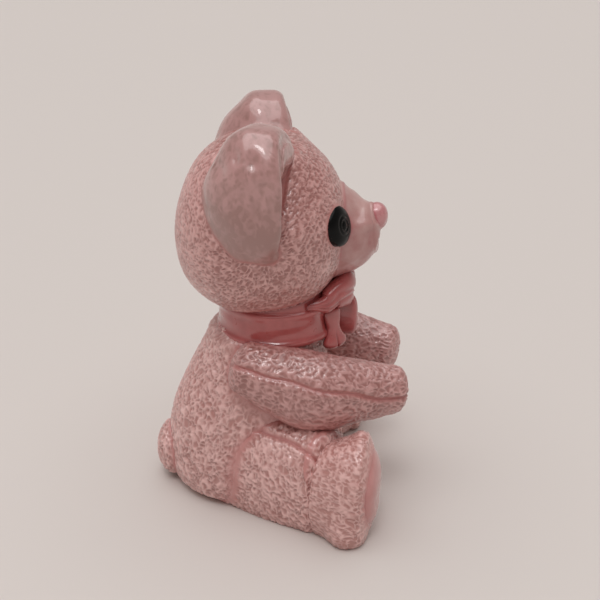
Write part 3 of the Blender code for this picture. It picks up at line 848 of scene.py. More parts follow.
@dataclass
class Piece:
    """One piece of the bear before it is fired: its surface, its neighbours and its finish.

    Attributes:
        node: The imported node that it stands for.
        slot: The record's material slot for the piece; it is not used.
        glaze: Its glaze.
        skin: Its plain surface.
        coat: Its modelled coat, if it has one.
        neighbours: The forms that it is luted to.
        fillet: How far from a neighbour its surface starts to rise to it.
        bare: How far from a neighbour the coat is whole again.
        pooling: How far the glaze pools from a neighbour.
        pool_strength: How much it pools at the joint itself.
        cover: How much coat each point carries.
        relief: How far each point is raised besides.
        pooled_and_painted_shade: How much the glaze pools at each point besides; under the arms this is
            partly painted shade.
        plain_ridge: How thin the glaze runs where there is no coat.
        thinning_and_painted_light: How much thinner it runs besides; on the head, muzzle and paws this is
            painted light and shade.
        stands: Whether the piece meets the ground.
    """

    node: str
    slot: Slot
    glaze: Glaze
    skin: Skin
    coat: Coat | None = None
    neighbours: tuple[Form, ...] = ()
    fillet: float = 1.5
    bare: float = 0.9
    pooling: float = 0.6
    pool_strength: float = 0.7
    cover: Array | float = 1.0
    relief: Array | float = 0.0
    pooled_and_painted_shade: Array | float = 0.0
    plain_ridge: float = 0.6
    thinning_and_painted_light: Array | float = 0.0
    stands: bool = False

    def settle(self) -> Skin:
        """The finished surface: coat, joints and the ground worked into the plain skin.

        Within a fillet's reach of a neighbour the surface is raised by (reach - distance)^2
        over four times the reach, which rounds the joint. Close to it the coat fades out and
        the glaze pools. What would dip below the ground is bent up to it by a smooth maximum.

        Returns:
            The surface with its two attributes.
        """
        points, normals = self.skin.points, self.skin.normals()
        flat = points.reshape(-1, 3)
        shape = points.shape[:2]
        away = np.full(len(flat), FAR)
        for form in self.neighbours:
            away = np.minimum(away, form.clearance(flat))
        away = np.abs(away.reshape(shape))
        near = np.clip(self.fillet - away, 0.0, None)
        lift = near**2 / (4.0 * self.fillet)
        open_skin = ease(away, JOINT_EDGE, self.bare)
        ridge_and_painted_light = np.full(shape, self.plain_ridge)
        if self.coat:
            raised = self.coat.ridges(flat).reshape(shape)
            cover = self.cover * open_skin
            ridge_and_painted_light = raised * cover + self.plain_ridge * (1.0 - cover)
            lift = lift + self.coat.height * (raised - COAT_LEVEL) * cover
        # On the head, muzzle and paws this adds painted light and painted shade to the thin share.
        ridge_and_painted_light = ridge_and_painted_light + self.thinning_and_painted_light
        moved = points + normals * (lift + self.relief)[..., None]
        if self.stands:
            up = moved[..., 2]
            moved[..., 2] = 0.5 * (up + np.sqrt(up**2 + GROUND_SOFTNESS))
        # The pooled shares also hold painted shade under the arms.
        pool = np.maximum(self.pool_strength * bump(away, 0.0, self.pooling), self.pooled_and_painted_shade)
        return Skin(moved, self.skin.angles, self.skin.looped, ridge_and_painted_light, np.clip(pool, 0.0, 1.0))


class Kiln:
    """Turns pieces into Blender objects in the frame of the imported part."""

    def __init__(self, torso_axis: float) -> None:
        """Remembers where the torso's axis is.

        Args:
            torso_axis: The axis's place along the bear's length, in metres.
        """
        self.torso_axis = torso_axis

    def mesh(self, name: str, skin: Skin) -> bpy.types.Mesh:
        """A mesh of quads over the grid, closed by fans at its ends unless it is looped.

        Args:
            name: The name of the mesh.
            skin: The finished surface, in millimetres.

        Returns:
            The mesh, in metres, with its faces pointing outwards.
        """
        rows, columns = skin.points.shape[:2]
        index = np.arange(rows * columns).reshape(rows, columns)
        below = index if skin.looped else index[:-1]
        above = np.roll(index, -1, axis=0) if skin.looped else index[1:]
        quads = np.stack([below, np.roll(below, -1, 1), np.roll(above, -1, 1), above], axis=-1)
        quads = quads.reshape(-1, 4)
        points = skin.points.reshape(-1, 3)
        ridge_and_painted_light, pool = skin.ridge_and_painted_light.ravel(), skin.pool.ravel()
        fans = np.empty((0, 3), int)
        if not skin.looped:
            poles = np.stack([skin.points[0].mean(axis=0), skin.points[-1].mean(axis=0)])
            points = np.concatenate([points, poles])
            ridge_and_painted_light = np.append(ridge_and_painted_light, [skin.ridge_and_painted_light[0].mean(), skin.ridge_and_painted_light[-1].mean()])
            pool = np.append(pool, [skin.pool[0].mean(), skin.pool[-1].mean()])
            first, last = index[0], index[-1]
            start = np.full(columns, rows * columns)
            fans = np.concatenate(
                [
                    np.stack([np.roll(first, -1), first, start], axis=-1),
                    np.stack([last, np.roll(last, -1), start + 1], axis=-1),
                ]
            )
        edge = points[quads]
        cross = np.cross(edge[:, 2] - edge[:, 0], edge[:, 3] - edge[:, 1])
        middle = points.mean(axis=0)
        if float(np.sum((edge.mean(axis=1) - middle) * cross)) < 0.0:
            quads, fans = quads[:, ::-1], fans[:, ::-1]
        corners = np.concatenate([quads.ravel(), fans.ravel()])
        sizes = np.concatenate([np.full(len(quads), 4), np.full(len(fans), 3)])
        starts = np.concatenate([[0], np.cumsum(sizes)[:-1]])
        made = bpy.data.meshes.new(name)
        made.vertices.add(len(points))
        placed = points * MM + np.array([0.0, self.torso_axis, 0.0])
        made.vertices.foreach_set("co", placed.astype(np.float32).ravel())
        made.loops.add(len(corners))
        made.loops.foreach_set("vertex_index", corners.astype(np.int32))
        made.polygons.add(len(starts))
        made.polygons.foreach_set("loop_start", starts.astype(np.int32))
        made.update(calc_edges=True)
        made.shade_smooth()
        # Both attributes carry painted light and painted shade besides the glaze's thickness.
        for label, values in (("ridge_and_painted_light", ridge_and_painted_light), ("pool", pool)):
            attribute = made.attributes.new(label, "FLOAT", "POINT")
            attribute.data.foreach_set("value", values.astype(np.float32))
        return made

    def fire(self, piece: Piece) -> bpy.types.Object:
        """Makes the object of a piece, named after its node, and ties it to its body; the node's
        imported part is hidden.

        Args:
            piece: The piece to make.

        Returns:
            The object.
        """
        name = f"{piece.node}_glazed"
        mesh = self.mesh(name, piece.settle())
        made = bpy.data.objects.new(name, mesh)
        bpy.context.scene.collection.objects.link(made)
        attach(made, "root")
        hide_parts(piece.node)
        LOG.info("%s: %d faces", name, len(mesh.polygons))
        return made


class SubAssembly:
    """What every sub-assembly does: it shapes its pieces, fires them and dresses them."""

    def shape(self, bear: "Bear") -> list[Piece]:
        """The pieces of the sub-assembly, next to the rest of the bear."""
        raise NotImplementedError

    def build(self, bear: "Bear", kiln: Kiln) -> list[tuple[Piece, bpy.types.Object]]:
        """Makes the object of every piece, and returns both."""
        return [(piece, kiln.fire(piece)) for piece in self.shape(bear)]

    def dress(self, built: list[tuple[Piece, bpy.types.Object]]) -> None:
        """Gives every object the material of its piece's glaze."""
        for piece, made in built:
            made.data.materials.append(piece.glaze.material())


class Pair(SubAssembly):
    """A sub-assembly that has the same pieces on both sides of the bear."""

    def form(self, side: Side) -> Form:
        """The outer form on one side, for its neighbours."""
        raise NotImplementedError

    def forms(self) -> list[Form]:
        """The outer forms on both sides."""
        return [self.form(side) for side in Side]

    def half(self, side: Side, bear: "Bear") -> list[Piece]:
        """The pieces on one side, next to the rest of the bear."""
        raise NotImplementedError

    def shape(self, bear: "Bear") -> list[Piece]:
        """The pieces on both sides."""
        return [piece for side in Side for piece in self.half(side, bear)]


@dataclass(frozen=True)
class Body(SubAssembly):
    """The hollow torso with its neck and drain hole, and the tail."""

    wall: float = 3.0
    base_half_width: float = 20.5
    base_forward: float = -1.5
    base_rounding: float = 1.3
    base_bare: Span = (0.2, 2.5)
    base_rings: int = 14
    belly_swell: float = 1.4
    belly_forward: float = -0.8
    half_width: float = 27.0
    widest_up: float = 14.0
    narrowing: float = 0.93
    waist: Triple = (0.6, 28.0, 25.5)
    chest: Triple = (3.6, 43.0, 22.0)
    shoulders: Triple = (6.6, 54.0, 18.8)
    neck_half_width: float = 15.6
    neck_forward: float = 9.4
    neck_lean: float = 0.8
    neck_up: float = 59.0
    neck_top: float = 78.8
    drain_radius: float = 4.0
    drain_rings: int = 3
    floor_share: float = 0.3
    floor_rings: int = 9
    hidden_cell: float = 2.0
    inside_cell: float = 1.6
    tail_half_width: float = 9.0
    tail_half_height: float = 9.2
    tail_squareness: float = 2.1
    tail_up: float = 10.2
    tail_back: float = -31.4
    tail_dome: float = 5.6
    tail_seat: float = 6.0
    collar_up: float = 57.2
    collar_swell: float = 2.2
    collar_spread: float = 3.4
    collar_behind: Span = (-2.0, 8.0)
    collar_bare: float = 0.5
    # Under the arms the glaze pools, and painted shade darkens the skin there too.
    armpit_spread: float = 4.2
    armpit_up: Span = (46.0, 38.0)
    armpit_bare: float = 0.75
    armpit_pool_and_painted_shade: float = 0.4
    coat: Coat = Coat(1.65, 0.68, 0.36, grain=(0.0, 0.5, 0.8), stretch=1.2, seed=11)

    @property
    def floor_up(self) -> float:
        """The height of the hollow's floor, which is also that of the belly's lowest section."""
        return self.floor_share * self.widest_up

    def profile(self, inset: float) -> Array:
        """The torso's sections from the base to the neck, as forward, up and half depth.

        Args:
            inset: How far inside the outer surface.

        Returns:
            The rows.
        """
        belly_half = 0.5 * (self.base_half_width + self.half_width) + self.belly_swell
        rows = [
            (self.base_forward, 0.0, self.base_half_width),
            (self.belly_forward, self.floor_up, belly_half),
            (0.0, self.widest_up, self.half_width),
            self.waist,
            self.chest,
            self.shoulders,
            (self.neck_forward - self.neck_lean, self.neck_up, self.neck_half_width),
            (self.neck_forward, self.neck_top, self.neck_half_width),
        ]
        values = smooth(rows, PROFILE_SAMPLES)
        values[:, 2] -= inset
        return values

    def half_side(self, half_depth: Array, up: Array) -> Array:
        """The half width for a half depth: the belly is narrower than deep, the neck is round."""
        share = np.clip((self.neck_up - up) / (self.neck_up - self.chest[1]), 0.0, 1.0)
        return half_depth * (1.0 + (self.narrowing - 1.0) * share)

    def clearance(self, points: Array) -> Array:
        """The distance outside the level oval at each point's height.

        Args:
            points: The places.

        Returns:
            The distances, less than nothing inside.
        """
        rows = self.profile(0.0)
        up = points[:, 2]
        forward = np.interp(up, rows[:, 1], rows[:, 0])
        deep = np.interp(up, rows[:, 1], rows[:, 2])
        wide = self.half_side(deep, up)
        ahead = -points[:, 1] - forward
        ratio = np.hypot(points[:, 0] / wide, ahead / deep)
        away = np.hypot(points[:, 0], ahead)
        return away - away / np.maximum(ratio, TINY)

    def rings(self, rows: Array, angles: Array) -> Array:
        """Level oval rings of the torso.

        Args:
            rows: The half depth, height and forward place of each ring.
            angles: The angle of each column.

        Returns:
            The rings' points.
        """
        wide = self.half_side(rows[:, 0], rows[:, 1])
        radius = oval(angles, wide, rows[:, 0], 2.0)
        centres = np.stack([np.zeros(len(rows)), -rows[:, 2], rows[:, 1]], axis=1)
        return ring_points(centres, ASIDE, BACK, radius, angles)

    def walls(self) -> tuple[Skin, Array]:
        """The torso's whole wall as one looped grid.

        The rows run down the outside, in across the base to the drain hole, up through it, out
        across the floor and up the inside. Rings between two edges are even blends of them.

        Returns:
            The surface, and how much coat each row carries.
        """
        outer = self.profile(0.0)[::-1, [2, 1, 0]]
        shown = evenly(outer[outer[:, 1] <= self.neck_up], CELL)
        hidden = evenly(outer[outer[:, 1] > self.neck_up], self.hidden_cell)
        outer = np.concatenate([hidden, shown])
        low = np.clip(self.base_rounding - outer[:, 1], 0.0, None)
        outer[:, 0] -= self.base_rounding - np.sqrt(self.base_rounding**2 - low**2)
        inner = self.profile(self.wall)[:, [2, 1, 0]]
        inner = evenly(inner[inner[:, 1] >= self.floor_up], self.inside_cell)
        columns = int(2.0 * math.pi * self.half_width / CELL) + 1
        angles = np.linspace(0.0, 2.0 * math.pi, columns, endpoint=False)
        outside, inside = self.rings(outer, angles), self.rings(inner, angles)
        ends = np.array([0.0, self.floor_up])[:, None] * UP
        radius = np.full((2, columns), self.drain_radius)
        hole = ring_points(ends, ASIDE, BACK, radius, angles)
        base = between(outside[-1], hole[0], self.base_rings)
        bore = between(hole[0], hole[1], self.drain_rings)
        deck = between(hole[1], inside[0], self.floor_rings)
        points = np.concatenate([outside, base, hole[:1], bore, hole[1:], deck, inside])
        cover = 1.0 * (np.arange(len(points)) < len(outside))
        return Skin(points, angles, looped=True), cover[:, None]

    def tail_form(self) -> Loft:
        """The round tail, from its root in the torso backwards.

        Returns:
            The form.
        """
        root = self.tail_back + self.tail_dome
        size = (self.tail_half_width, self.tail_half_height, self.tail_squareness)
        ends = (root + self.tail_seat, root)
        sections = tuple(Section(forward, 0.0, self.tail_up, *size) for forward in ends)
        return Loft(sections, start_dome=1.0, end_dome=self.tail_dome)

    def shape(self, bear: "Bear") -> list[Piece]:
        """The torso's casting and the tail.

        The skin swells where the ribbon rests on it behind. The coat is lower there, and under
        the arms, where the glaze gathers and painted shade darkens the skin.

        Args:
            bear: The whole bear.

        Returns:
            The pieces.
        """
        skin, cover = self.walls()
        back, up = skin.points[..., 1], skin.points[..., 2]
        arms = bear.arms.forms()
        legs = bear.legs.forms()
        tail = self.tail_form()
        behind = ease(back + self.neck_forward, *self.collar_behind)
        collar = bump(up, self.collar_up, self.collar_spread) * behind
        away = np.minimum(*(arm.clearance(skin.points) for arm in arms))
        # Painted shade under the arms, together with the glaze that pools there.
        under = bump(away, 0.0, self.armpit_spread) * ease(up, *self.armpit_up)
        cover = cover * ease(up, *self.base_bare)
        cover = cover * (1.0 - self.collar_bare * collar) * (1.0 - self.armpit_bare * under)
        casting = Piece(
            "torso_casting", Slot.FUR, BOUNCE_LIT_BODY_FUR, skin,
            self.coat,
            (*arms, *legs, tail),
            cover=cover,
            relief=self.collar_swell * collar,
            fillet=0.7,
            bare=1.7,
            pooling=1.5,
            pooled_and_painted_shade=self.armpit_pool_and_painted_shade * under,
            stands=True,
        )
        coat = replace(self.coat, seed=self.coat.seed + 1)
        return [casting, Piece("tail", Slot.FUR, BOUNCE_LIT_BODY_FUR, tail.skin(), coat, (self,), stands=True)]


@dataclass(frozen=True)
class Head(SubAssembly):
    """The head casting: a slightly square, closed ball; the real casting opens below into the neck.

    A row of swells holds the way from the middle as aside, back and up, the height and the
    spread in radians.
    """

    forward: float = 4.8
    up: float = 91.7
    half_width: float = 27.0
    half_depth: float = 26.8
    half_height: float = 28.6
    squareness: float = 2.15
    cell: float = 0.405
    swells: Rows = (
        (0.0, 0.764, -0.645, 1.4, 0.36),
        (0.0, 0.90, 0.45, -1.1, 0.42),
        (0.91, -0.36, 0.19, 1.8, 0.20),
        (0.47, -0.30, 0.83, 2.6, 0.20),
    )
    wedge_forward: Span = (11.6, 14.3)
    wedge_up: Span = (102.0, 118.0)
    wedge_ends: Span = (4.0, 3.0)
    wedge_front: Span = (0.6, -0.4)
    wedge_back: float = 5.0
    wedge_depth: float = 0.7
    wedge_pooled: float = 0.6
    # Painted light and shade: the head is drawn darker at the front and paler towards the back.
    behind: Span = (4.0, 18.0)
    front_painted_shade: float = -0.22
    back_painted_light: float = 0.43
    coat: Coat = Coat(1.24, 0.37, 0.43, grain=(0.0, 0.75, -0.6), stretch=1.35, seed=31)

    def form(self) -> Ball:
        """The head's ball."""
        sizes = (self.half_depth, self.half_width, self.half_height)
        return Ball(self.forward, 0.0, self.up, *sizes, self.squareness, self.cell)

    def swelling(self, points: Array) -> Array:
        """How far the skin swells: at the nape and before both ears, less behind the crown.

        Each hump stands round a way from the middle, and is mirrored. Its height falls off with
        the angle from that way.

        Args:
            points: The places.

        Returns:
            The swelling at each place, in millimetres.
        """
        ways = unit(points - self.form().centre())
        ways[..., 0] = np.abs(ways[..., 0])
        total = np.zeros(ways.shape[:-1])
        for *way, height, spread in self.swells:
            angle = np.arccos(np.clip(ways @ unit(np.array(way)), -1.0, 1.0))
            total += height * bump(angle, 0.0, spread)
        return total

    def wedge(self, points: Array) -> Array:
        """How much each point lies in the deep wedge between an ear's rim and the coat.

        The wedge narrows downwards: its front limit leans from its foot forward to its top.

        Args:
            points: The places.

        Returns:
            The shares, from 0 to 1.
        """
        ahead, up = -points[..., 1], points[..., 2]
        foot, top = self.wedge_up
        limit = np.interp(up, self.wedge_up, self.wedge_forward)
        above = ease(up, foot, foot + self.wedge_ends[0])
        below = ease(up, top, top - self.wedge_ends[1])
        return ease(ahead - limit, *self.wedge_front) * above * below * (ahead > self.wedge_back)

    def shape(self, bear: "Bear") -> list[Piece]:
        """The head, with its ears, muzzle, eyes and ribbon as neighbours.

        Args:
            bear: The whole bear.

        Returns:
            The pieces.
        """
        skin = self.form().skin()
        wedge = self.wedge(skin.points)
        casting = Piece(
            "head_casting", Slot.FUR, HEAD_FUR, skin,
            self.coat,
            (*bear.ears.forms(), *bear.eyes.forms(), bear.muzzle.form(), bear.ribbon),
            relief=self.swelling(skin.points) - self.wedge_depth * wedge,
            pooled_and_painted_shade=self.wedge_pooled * wedge,
            cover=1.0 - wedge,
            # Painted shade at the front of the head and painted light towards its back.
            thinning_and_painted_light=self.front_painted_shade + self.back_painted_light * ease(skin.points[..., 1], *self.behind),
        )
        return [casting]


@dataclass(frozen=True)
class EarForm:
    """An ear's form for its neighbours: a leaning column behind, and only its rim in front."""

    column: Loft
    ears: "Ears"
    side: Side

    def clearance(self, points: Array) -> Array:
        """The distance outside the column, or outside the rolled rim where the dish is open.

        Args:
            points: The places.

        Returns:
            The distances, less than nothing inside.
        """
        ears = self.ears
        along, origin = ears.along(self.side), ears.origin(self.side)
        moved = points + ears.leaning(points, origin, along)[..., None] * along
        offsets = moved - origin
        ahead = offsets @ along
        aside = np.abs(offsets @ np.cross(UP, along))
        rise = np.abs(offsets[..., 2])
        inset, power = 0.5 * ears.rim, ears.squareness
        wide, high = ears.half_width - inset, ears.half_height - inset
        ratio = ((aside / wide) ** power + (rise / high) ** power) ** (1.0 / power)
        radial = np.hypot(aside, rise) * (1.0 - 1.0 / np.maximum(ratio, TINY))
        rolled = np.hypot(ahead + 0.5 * ears.lip, radial) - inset
        return np.where(ahead > -0.5 * ears.lip, rolled, self.column.clearance(moved))


@dataclass(frozen=True)
class Ears(Pair):
    """Two thick round ears, domed behind and dished in front inside a rounded rim.

    A row of dimples holds how far forward and above the middle it lies, its depth and spread.
    """

    half_width: float = 15.0
    half_height: float = 20.6
    depth: float = 27.0
    wall_depth: float = 7.0
    side: float = 21.0
    up: float = 107.4
    front: float = 16.0
    turn: float = math.radians(12.0)
    squareness: float = 2.2
    rim: float = 5.0
    rim_rows: int = 26
    lip: float = 4.4
    dish: float = 3.3
    dish_rows: Span = (4.0, 16.0)
    dish_pooled: float = 0.6
    set_back: float = 1.0
    set_back_span: Span = (-22.0, -2.0)
    foot_lean: float = 4.0
    foot_span: Span = (4.0, 20.0)
    top_thinning: float = 0.19
    top_span: Span = (0.0, 20.0)
    top_turn: float = 0.06
    turn_span: Span = (2.0, 13.0)
    turn_reach: float = 6.0
    dimples: Rows = (
        (5.2, 13.6, 1.1, 2.4),
        (-1.2, 14.2, 0.9, 2.0),
        (-7.0, 10.0, 0.6, 2.2),
    )
    swell: float = 0.30
    swell_length: float = 16.0
    filled_span: Span = (-4.0, 13.0)
    filled_level: float = 0.15
    foot_thinning: float = -0.8
    thick_span: Span = (6.0, -5.0)
    coat: Coat = Coat(2.0, 0.04, 0.9, seed=51)

    def along(self, side: Side) -> Array:
        """The way that the open side of an ear faces."""
        return facing(side, self.turn)

    def origin(self, side: Side) -> Array:
        """The middle of the ear's front."""
        return np.array([side.sign * self.side, -self.front, self.up])

    def leaning(self, points: Array, origin: Array, along: Array) -> Array:
        """How far the ear's surface is set back along its axis.

        The whole front is set back a little, and more towards the foot of the ear. Near the
        top the ear is thinner, so that both faces draw in towards its middle, and its front
        turns to face straight ahead.

        Args:
            points: The places.
            origin: The middle of the ear's front.
            along: The way that the ear faces.

        Returns:
            The distances at the places.
        """
        place = (points - origin) @ along
        rise = points[..., 2] - self.up
        low, top = ease(-rise, *self.foot_span), ease(rise, *self.top_span)
        inwards = (origin[0] - points[..., 0]) * np.sign(origin[0])
        turned = self.top_turn * ease(rise, *self.turn_span)
        turned = turned * np.clip(inwards + self.turn_reach, 0.0, None)
        front = (self.set_back + self.foot_lean * low + turned) * ease(place, *self.set_back_span)
        return front + self.top_thinning * top * (place + 0.5 * self.depth)

    def form(self, side: Side) -> EarForm:
        """The ear's outer form, for its neighbours.

        Args:
            side: The side of the bear.

        Returns:
            The form.
        """
        ahead, aside = math.cos(self.turn), math.sin(self.turn)
        size = (self.up, self.half_width, self.half_height)
        ends = (-self.lip - self.wall_depth, -self.lip)
        rows = [(self.front + end * ahead, self.side + end * aside, *size) for end in ends]
        dome = self.depth - self.wall_depth - self.lip
        return EarForm(Loft(sided(side, rows, self.squareness), dome, self.lip), self, side)

    def profile(self) -> Array:
        """The ear from its back pole over the rim and into the dish.

        The rows hold the distance along the ear's axis, and the half width and height. The
        dome and the dish are quarter ovals, and the rim is half of one.

        Returns:
            The rows.
        """
        wall = self.lip + self.wall_depth
        size = np.array([self.half_width, self.half_height])
        places, shares = quarter(self.depth - wall, float(size.mean()), CELL)
        back = np.column_stack([-wall - places, shares[:, None] * size])[::-1]
        along = np.linspace(-wall, -self.lip, int(self.wall_depth / CELL))
        sides = np.column_stack([along, np.tile(size, (len(along), 1))])
        over = np.linspace(0.0, math.pi, self.rim_rows)[1:]
        inset = 0.5 * self.rim * (1.0 - np.cos(over))
        rim = np.column_stack([-self.lip + self.lip * np.sin(over), size - inset[:, None]])
        size = size - self.rim
        places, shares = quarter(self.dish, float(size.mean()), CELL)
        bowl = np.column_stack([-self.lip - places, shares[:, None] * size])
        return np.concatenate([back, sides, rim, bowl])

    def half(self, side: Side, bear: "Bear") -> list[Piece]:
        """One ear: its dish is filled towards the top, and the glaze is thicker at its foot.

        Args:
            side: The side of the bear.
            bear: The whole bear.

        Returns:
            The pieces.
        """
        profile = self.profile()
        along, origin = self.along(side), self.origin(side)
        skin = Stack(origin, along, np.cross(UP, along), UP, profile, self.squareness).skin()
        ahead, rise = -skin.points[..., 1], skin.points[..., 2] - self.up
        past = (np.arange(len(profile)) - np.argmax(profile[:, 0]))[:, None]
        swell = self.swell * skin.ripples(self.swell_length, self.coat.seed + 1)
        outer = side.sign * skin.points[..., 0] > self.side
        for forward, height, deep, spread in self.dimples:
            away = np.hypot(ahead - forward, rise - height)
            swell = swell - deep * bump(away, 0.0, spread) * outer
        filled = ease(rise, *self.filled_span)
        open_dish = ease(past, *self.dish_rows) * (1.0 - filled)
        sunk = np.clip((origin - skin.points) @ along - self.filled_level, 0.0, None) * (past > 0)
        shift = filled * sunk - self.leaning(skin.points, origin, along)
        skin.points += shift[..., None] * along
        ear = Piece(
            f"ear_{side.value}", Slot.FUR, SMOOTH_FUR, skin,
            self.coat.beside(side),
            (bear.head.form(),),
            relief=swell,
            pooled_and_painted_shade=self.dish_pooled * open_dish,
            cover=1.0 - open_dish,
            thinning_and_painted_light=self.foot_thinning * ease(rise, *self.thick_span),
            fillet=2.4,
        )
        return [ear]


@dataclass(frozen=True)
class Muzzle(SubAssembly):
    """The smooth snout with its side facets and mouth, and the ball of the nose."""

    half_width: float = 12.5
    half_height: float = 15.2
    up: float = 88.6
    seat: float = 9.0
    root: float = 27.0
    root_squareness: float = 1.85
    tip: float = 42.0
    cell: float = 0.34
    width_taper: float = 0.54
    height_taper: float = 0.42
    middle_lift: float = 0.6
    middle_width: float = 1.04
    lip_lift: float = 1.2
    lip_half_width: float = 6.4
    lip_half_height: float = 8.4
    lip_squareness: float = 1.9
    lip_rounding: float = 2.4
    facet: float = 1.7
    ridge_angle: float = math.radians(27.0)
    ridge_turn: float = 0.24
    ridge_height: float = 0.9
    ridge_ends: Triple = (4.0, 1.0, -4.0)
    bridge_rise: float = 2.1
    bridge_turn: float = 0.6
    bridge_length: float = 8.0
    # A painted highlight: the muzzle's top plane is drawn paler.
    top_turn: float = 0.75
    top_thinning: float = 0.6
    # The muzzle's underside is drawn darker.
    chin_turn: float = 0.8
    chin_darkening: float = 0.3
    swell: float = 0.16
    swell_length: float = 7.0
    mouth_up: float = 86.2
    mouth_half_width: float = 5.0
    mouth_ends: float = 0.85
    mouth_rise: float = 1.7
    mouth_spread: float = 0.42
    mouth_front: Span = (5.0, 8.0)
    mouth_depth: float = 0.45
    mouth_pooled: float = 0.55
    cleft_spread: float = 0.38
    cleft_start: float = 0.5
    nose: Ball = Ball(40.9, 0.0, 93.7, 3.5, 3.9, 4.4, 2.1, cell=0.25)
    nostril_side: float = 1.7
    nostril_drop: float = 1.3
    nostril_spread: float = 0.8
    nostril_depth: float = 0.3

    def form(self) -> Loft:
        """The snout. Its middle sections are drawn in to soft side facets.

        Returns:
            The form.
        """
        middle, lip = 0.5 * (self.root + self.tip), self.tip - self.lip_rounding
        width = self.half_width + (self.lip_half_width - self.half_width) * self.width_taper
        height = self.half_height + (self.lip_half_height - self.half_height) * self.height_taper
        rows = (
            (self.root - self.seat, self.up, self.half_width, self.half_height, 2.0),
            (self.root, self.up, self.half_width, self.half_height, self.root_squareness),
            (middle, self.up + self.middle_lift, self.middle_width * width, height, self.facet),
            (lip, self.up + self.lip_lift, self.lip_half_width, self.lip_half_height, self.lip_squareness),
        )
        sections = tuple(Section(forward, 0.0, up, *rest) for forward, up, *rest in rows)
        return Loft(sections, 1.0, self.lip_rounding, cell=self.cell)

    def mouth(self, points: Array) -> Array:
        """How much of the mouth's line is at each point, from 0 to 1.

        The mouth is a shallow smile: its height rises with the square of the distance from the
        middle. A short upright line joins it to the nose.

        Args:
            points: The places.

        Returns:
            The shares.
        """
        aside, ahead, up = np.abs(points[..., 0]), -points[..., 1], points[..., 2]
        smile = self.mouth_up + self.mouth_rise * (aside / self.mouth_half_width) ** 2
        ends = ease(aside / self.mouth_half_width, 1.0, self.mouth_ends)
        line = bump(up, smile, self.mouth_spread) * ends
        cleft = bump(aside, 0.0, self.cleft_spread) * ease(up - self.mouth_up, 0.0, self.cleft_start)
        front = ease(ahead - self.root, *self.mouth_front)
        return np.maximum(line, cleft * (up < self.nose.up)) * front

    def snout(self, bear: "Bear") -> Piece:
        """The snout, with a ridge along each side, a bridge to the head and the mouth.

        Args:
            bear: The whole bear.

        Returns:
            The piece.
        """
        skin = self.form().skin()
        mouth = self.mouth(skin.points)
        ahead = -skin.points[..., 1]
        level = np.abs(np.abs(skin.angles - QUARTER_TURN) - QUARTER_TURN + self.ridge_angle)
        start, past, short = self.ridge_ends
        run = ease(ahead - self.root, 0.0, start) * ease(ahead - self.tip, past, short)
        bridge = bump(skin.angles, QUARTER_TURN, self.bridge_turn)
        bridge = bridge * ease(ahead - self.root, self.bridge_length, 0.0)
        swell = self.swell * skin.ripples(self.swell_length, 61)
        swell = swell + self.ridge_height * bump(level, 0.0, self.ridge_turn) * run
        swell = swell + self.bridge_rise * bridge
        # The underside is drawn darker here.
        chin = bump(skin.angles, 3.0 * QUARTER_TURN, self.chin_turn)
        return Piece(
            "muzzle", Slot.MUZZLE, SNOUT, skin,
            neighbours=(bear.head.form(), self.nose, *bear.eyes.forms()),
            relief=swell - self.mouth_depth * mouth,
            pooled_and_painted_shade=np.maximum(self.mouth_pooled * mouth, self.chin_darkening * chin),
            pool_strength=0.5,
            fillet=1.1,
            plain_ridge=0.3,
            # Painted highlight along the top plane.
            thinning_and_painted_light=self.top_thinning * bump(skin.angles, QUARTER_TURN, self.top_turn),
        )

    def shape(self, bear: "Bear") -> list[Piece]:
        """The snout, and the nose with two shallow nostrils.

        Args:
            bear: The whole bear.

        Returns:
            The pieces.
        """
        ball = self.nose.skin()
        aside, up = np.abs(ball.points[..., 0]), ball.points[..., 2]
        nostril = bump(aside, self.nostril_side, self.nostril_spread)
        nostril = nostril * bump(up, self.nose.up - self.nostril_drop, self.nostril_spread)
        nostril = nostril * (-ball.points[..., 1] > self.nose.forward)
        tip = Piece(
            "nose", Slot.NOSE, NOSE_TIP, ball,
            neighbours=(self.form(),),
            relief=-self.nostril_depth * nostril,
            pooled_and_painted_shade=0.5 * nostril,
            fillet=0.9,
        )
        return [self.snout(bear), tip]


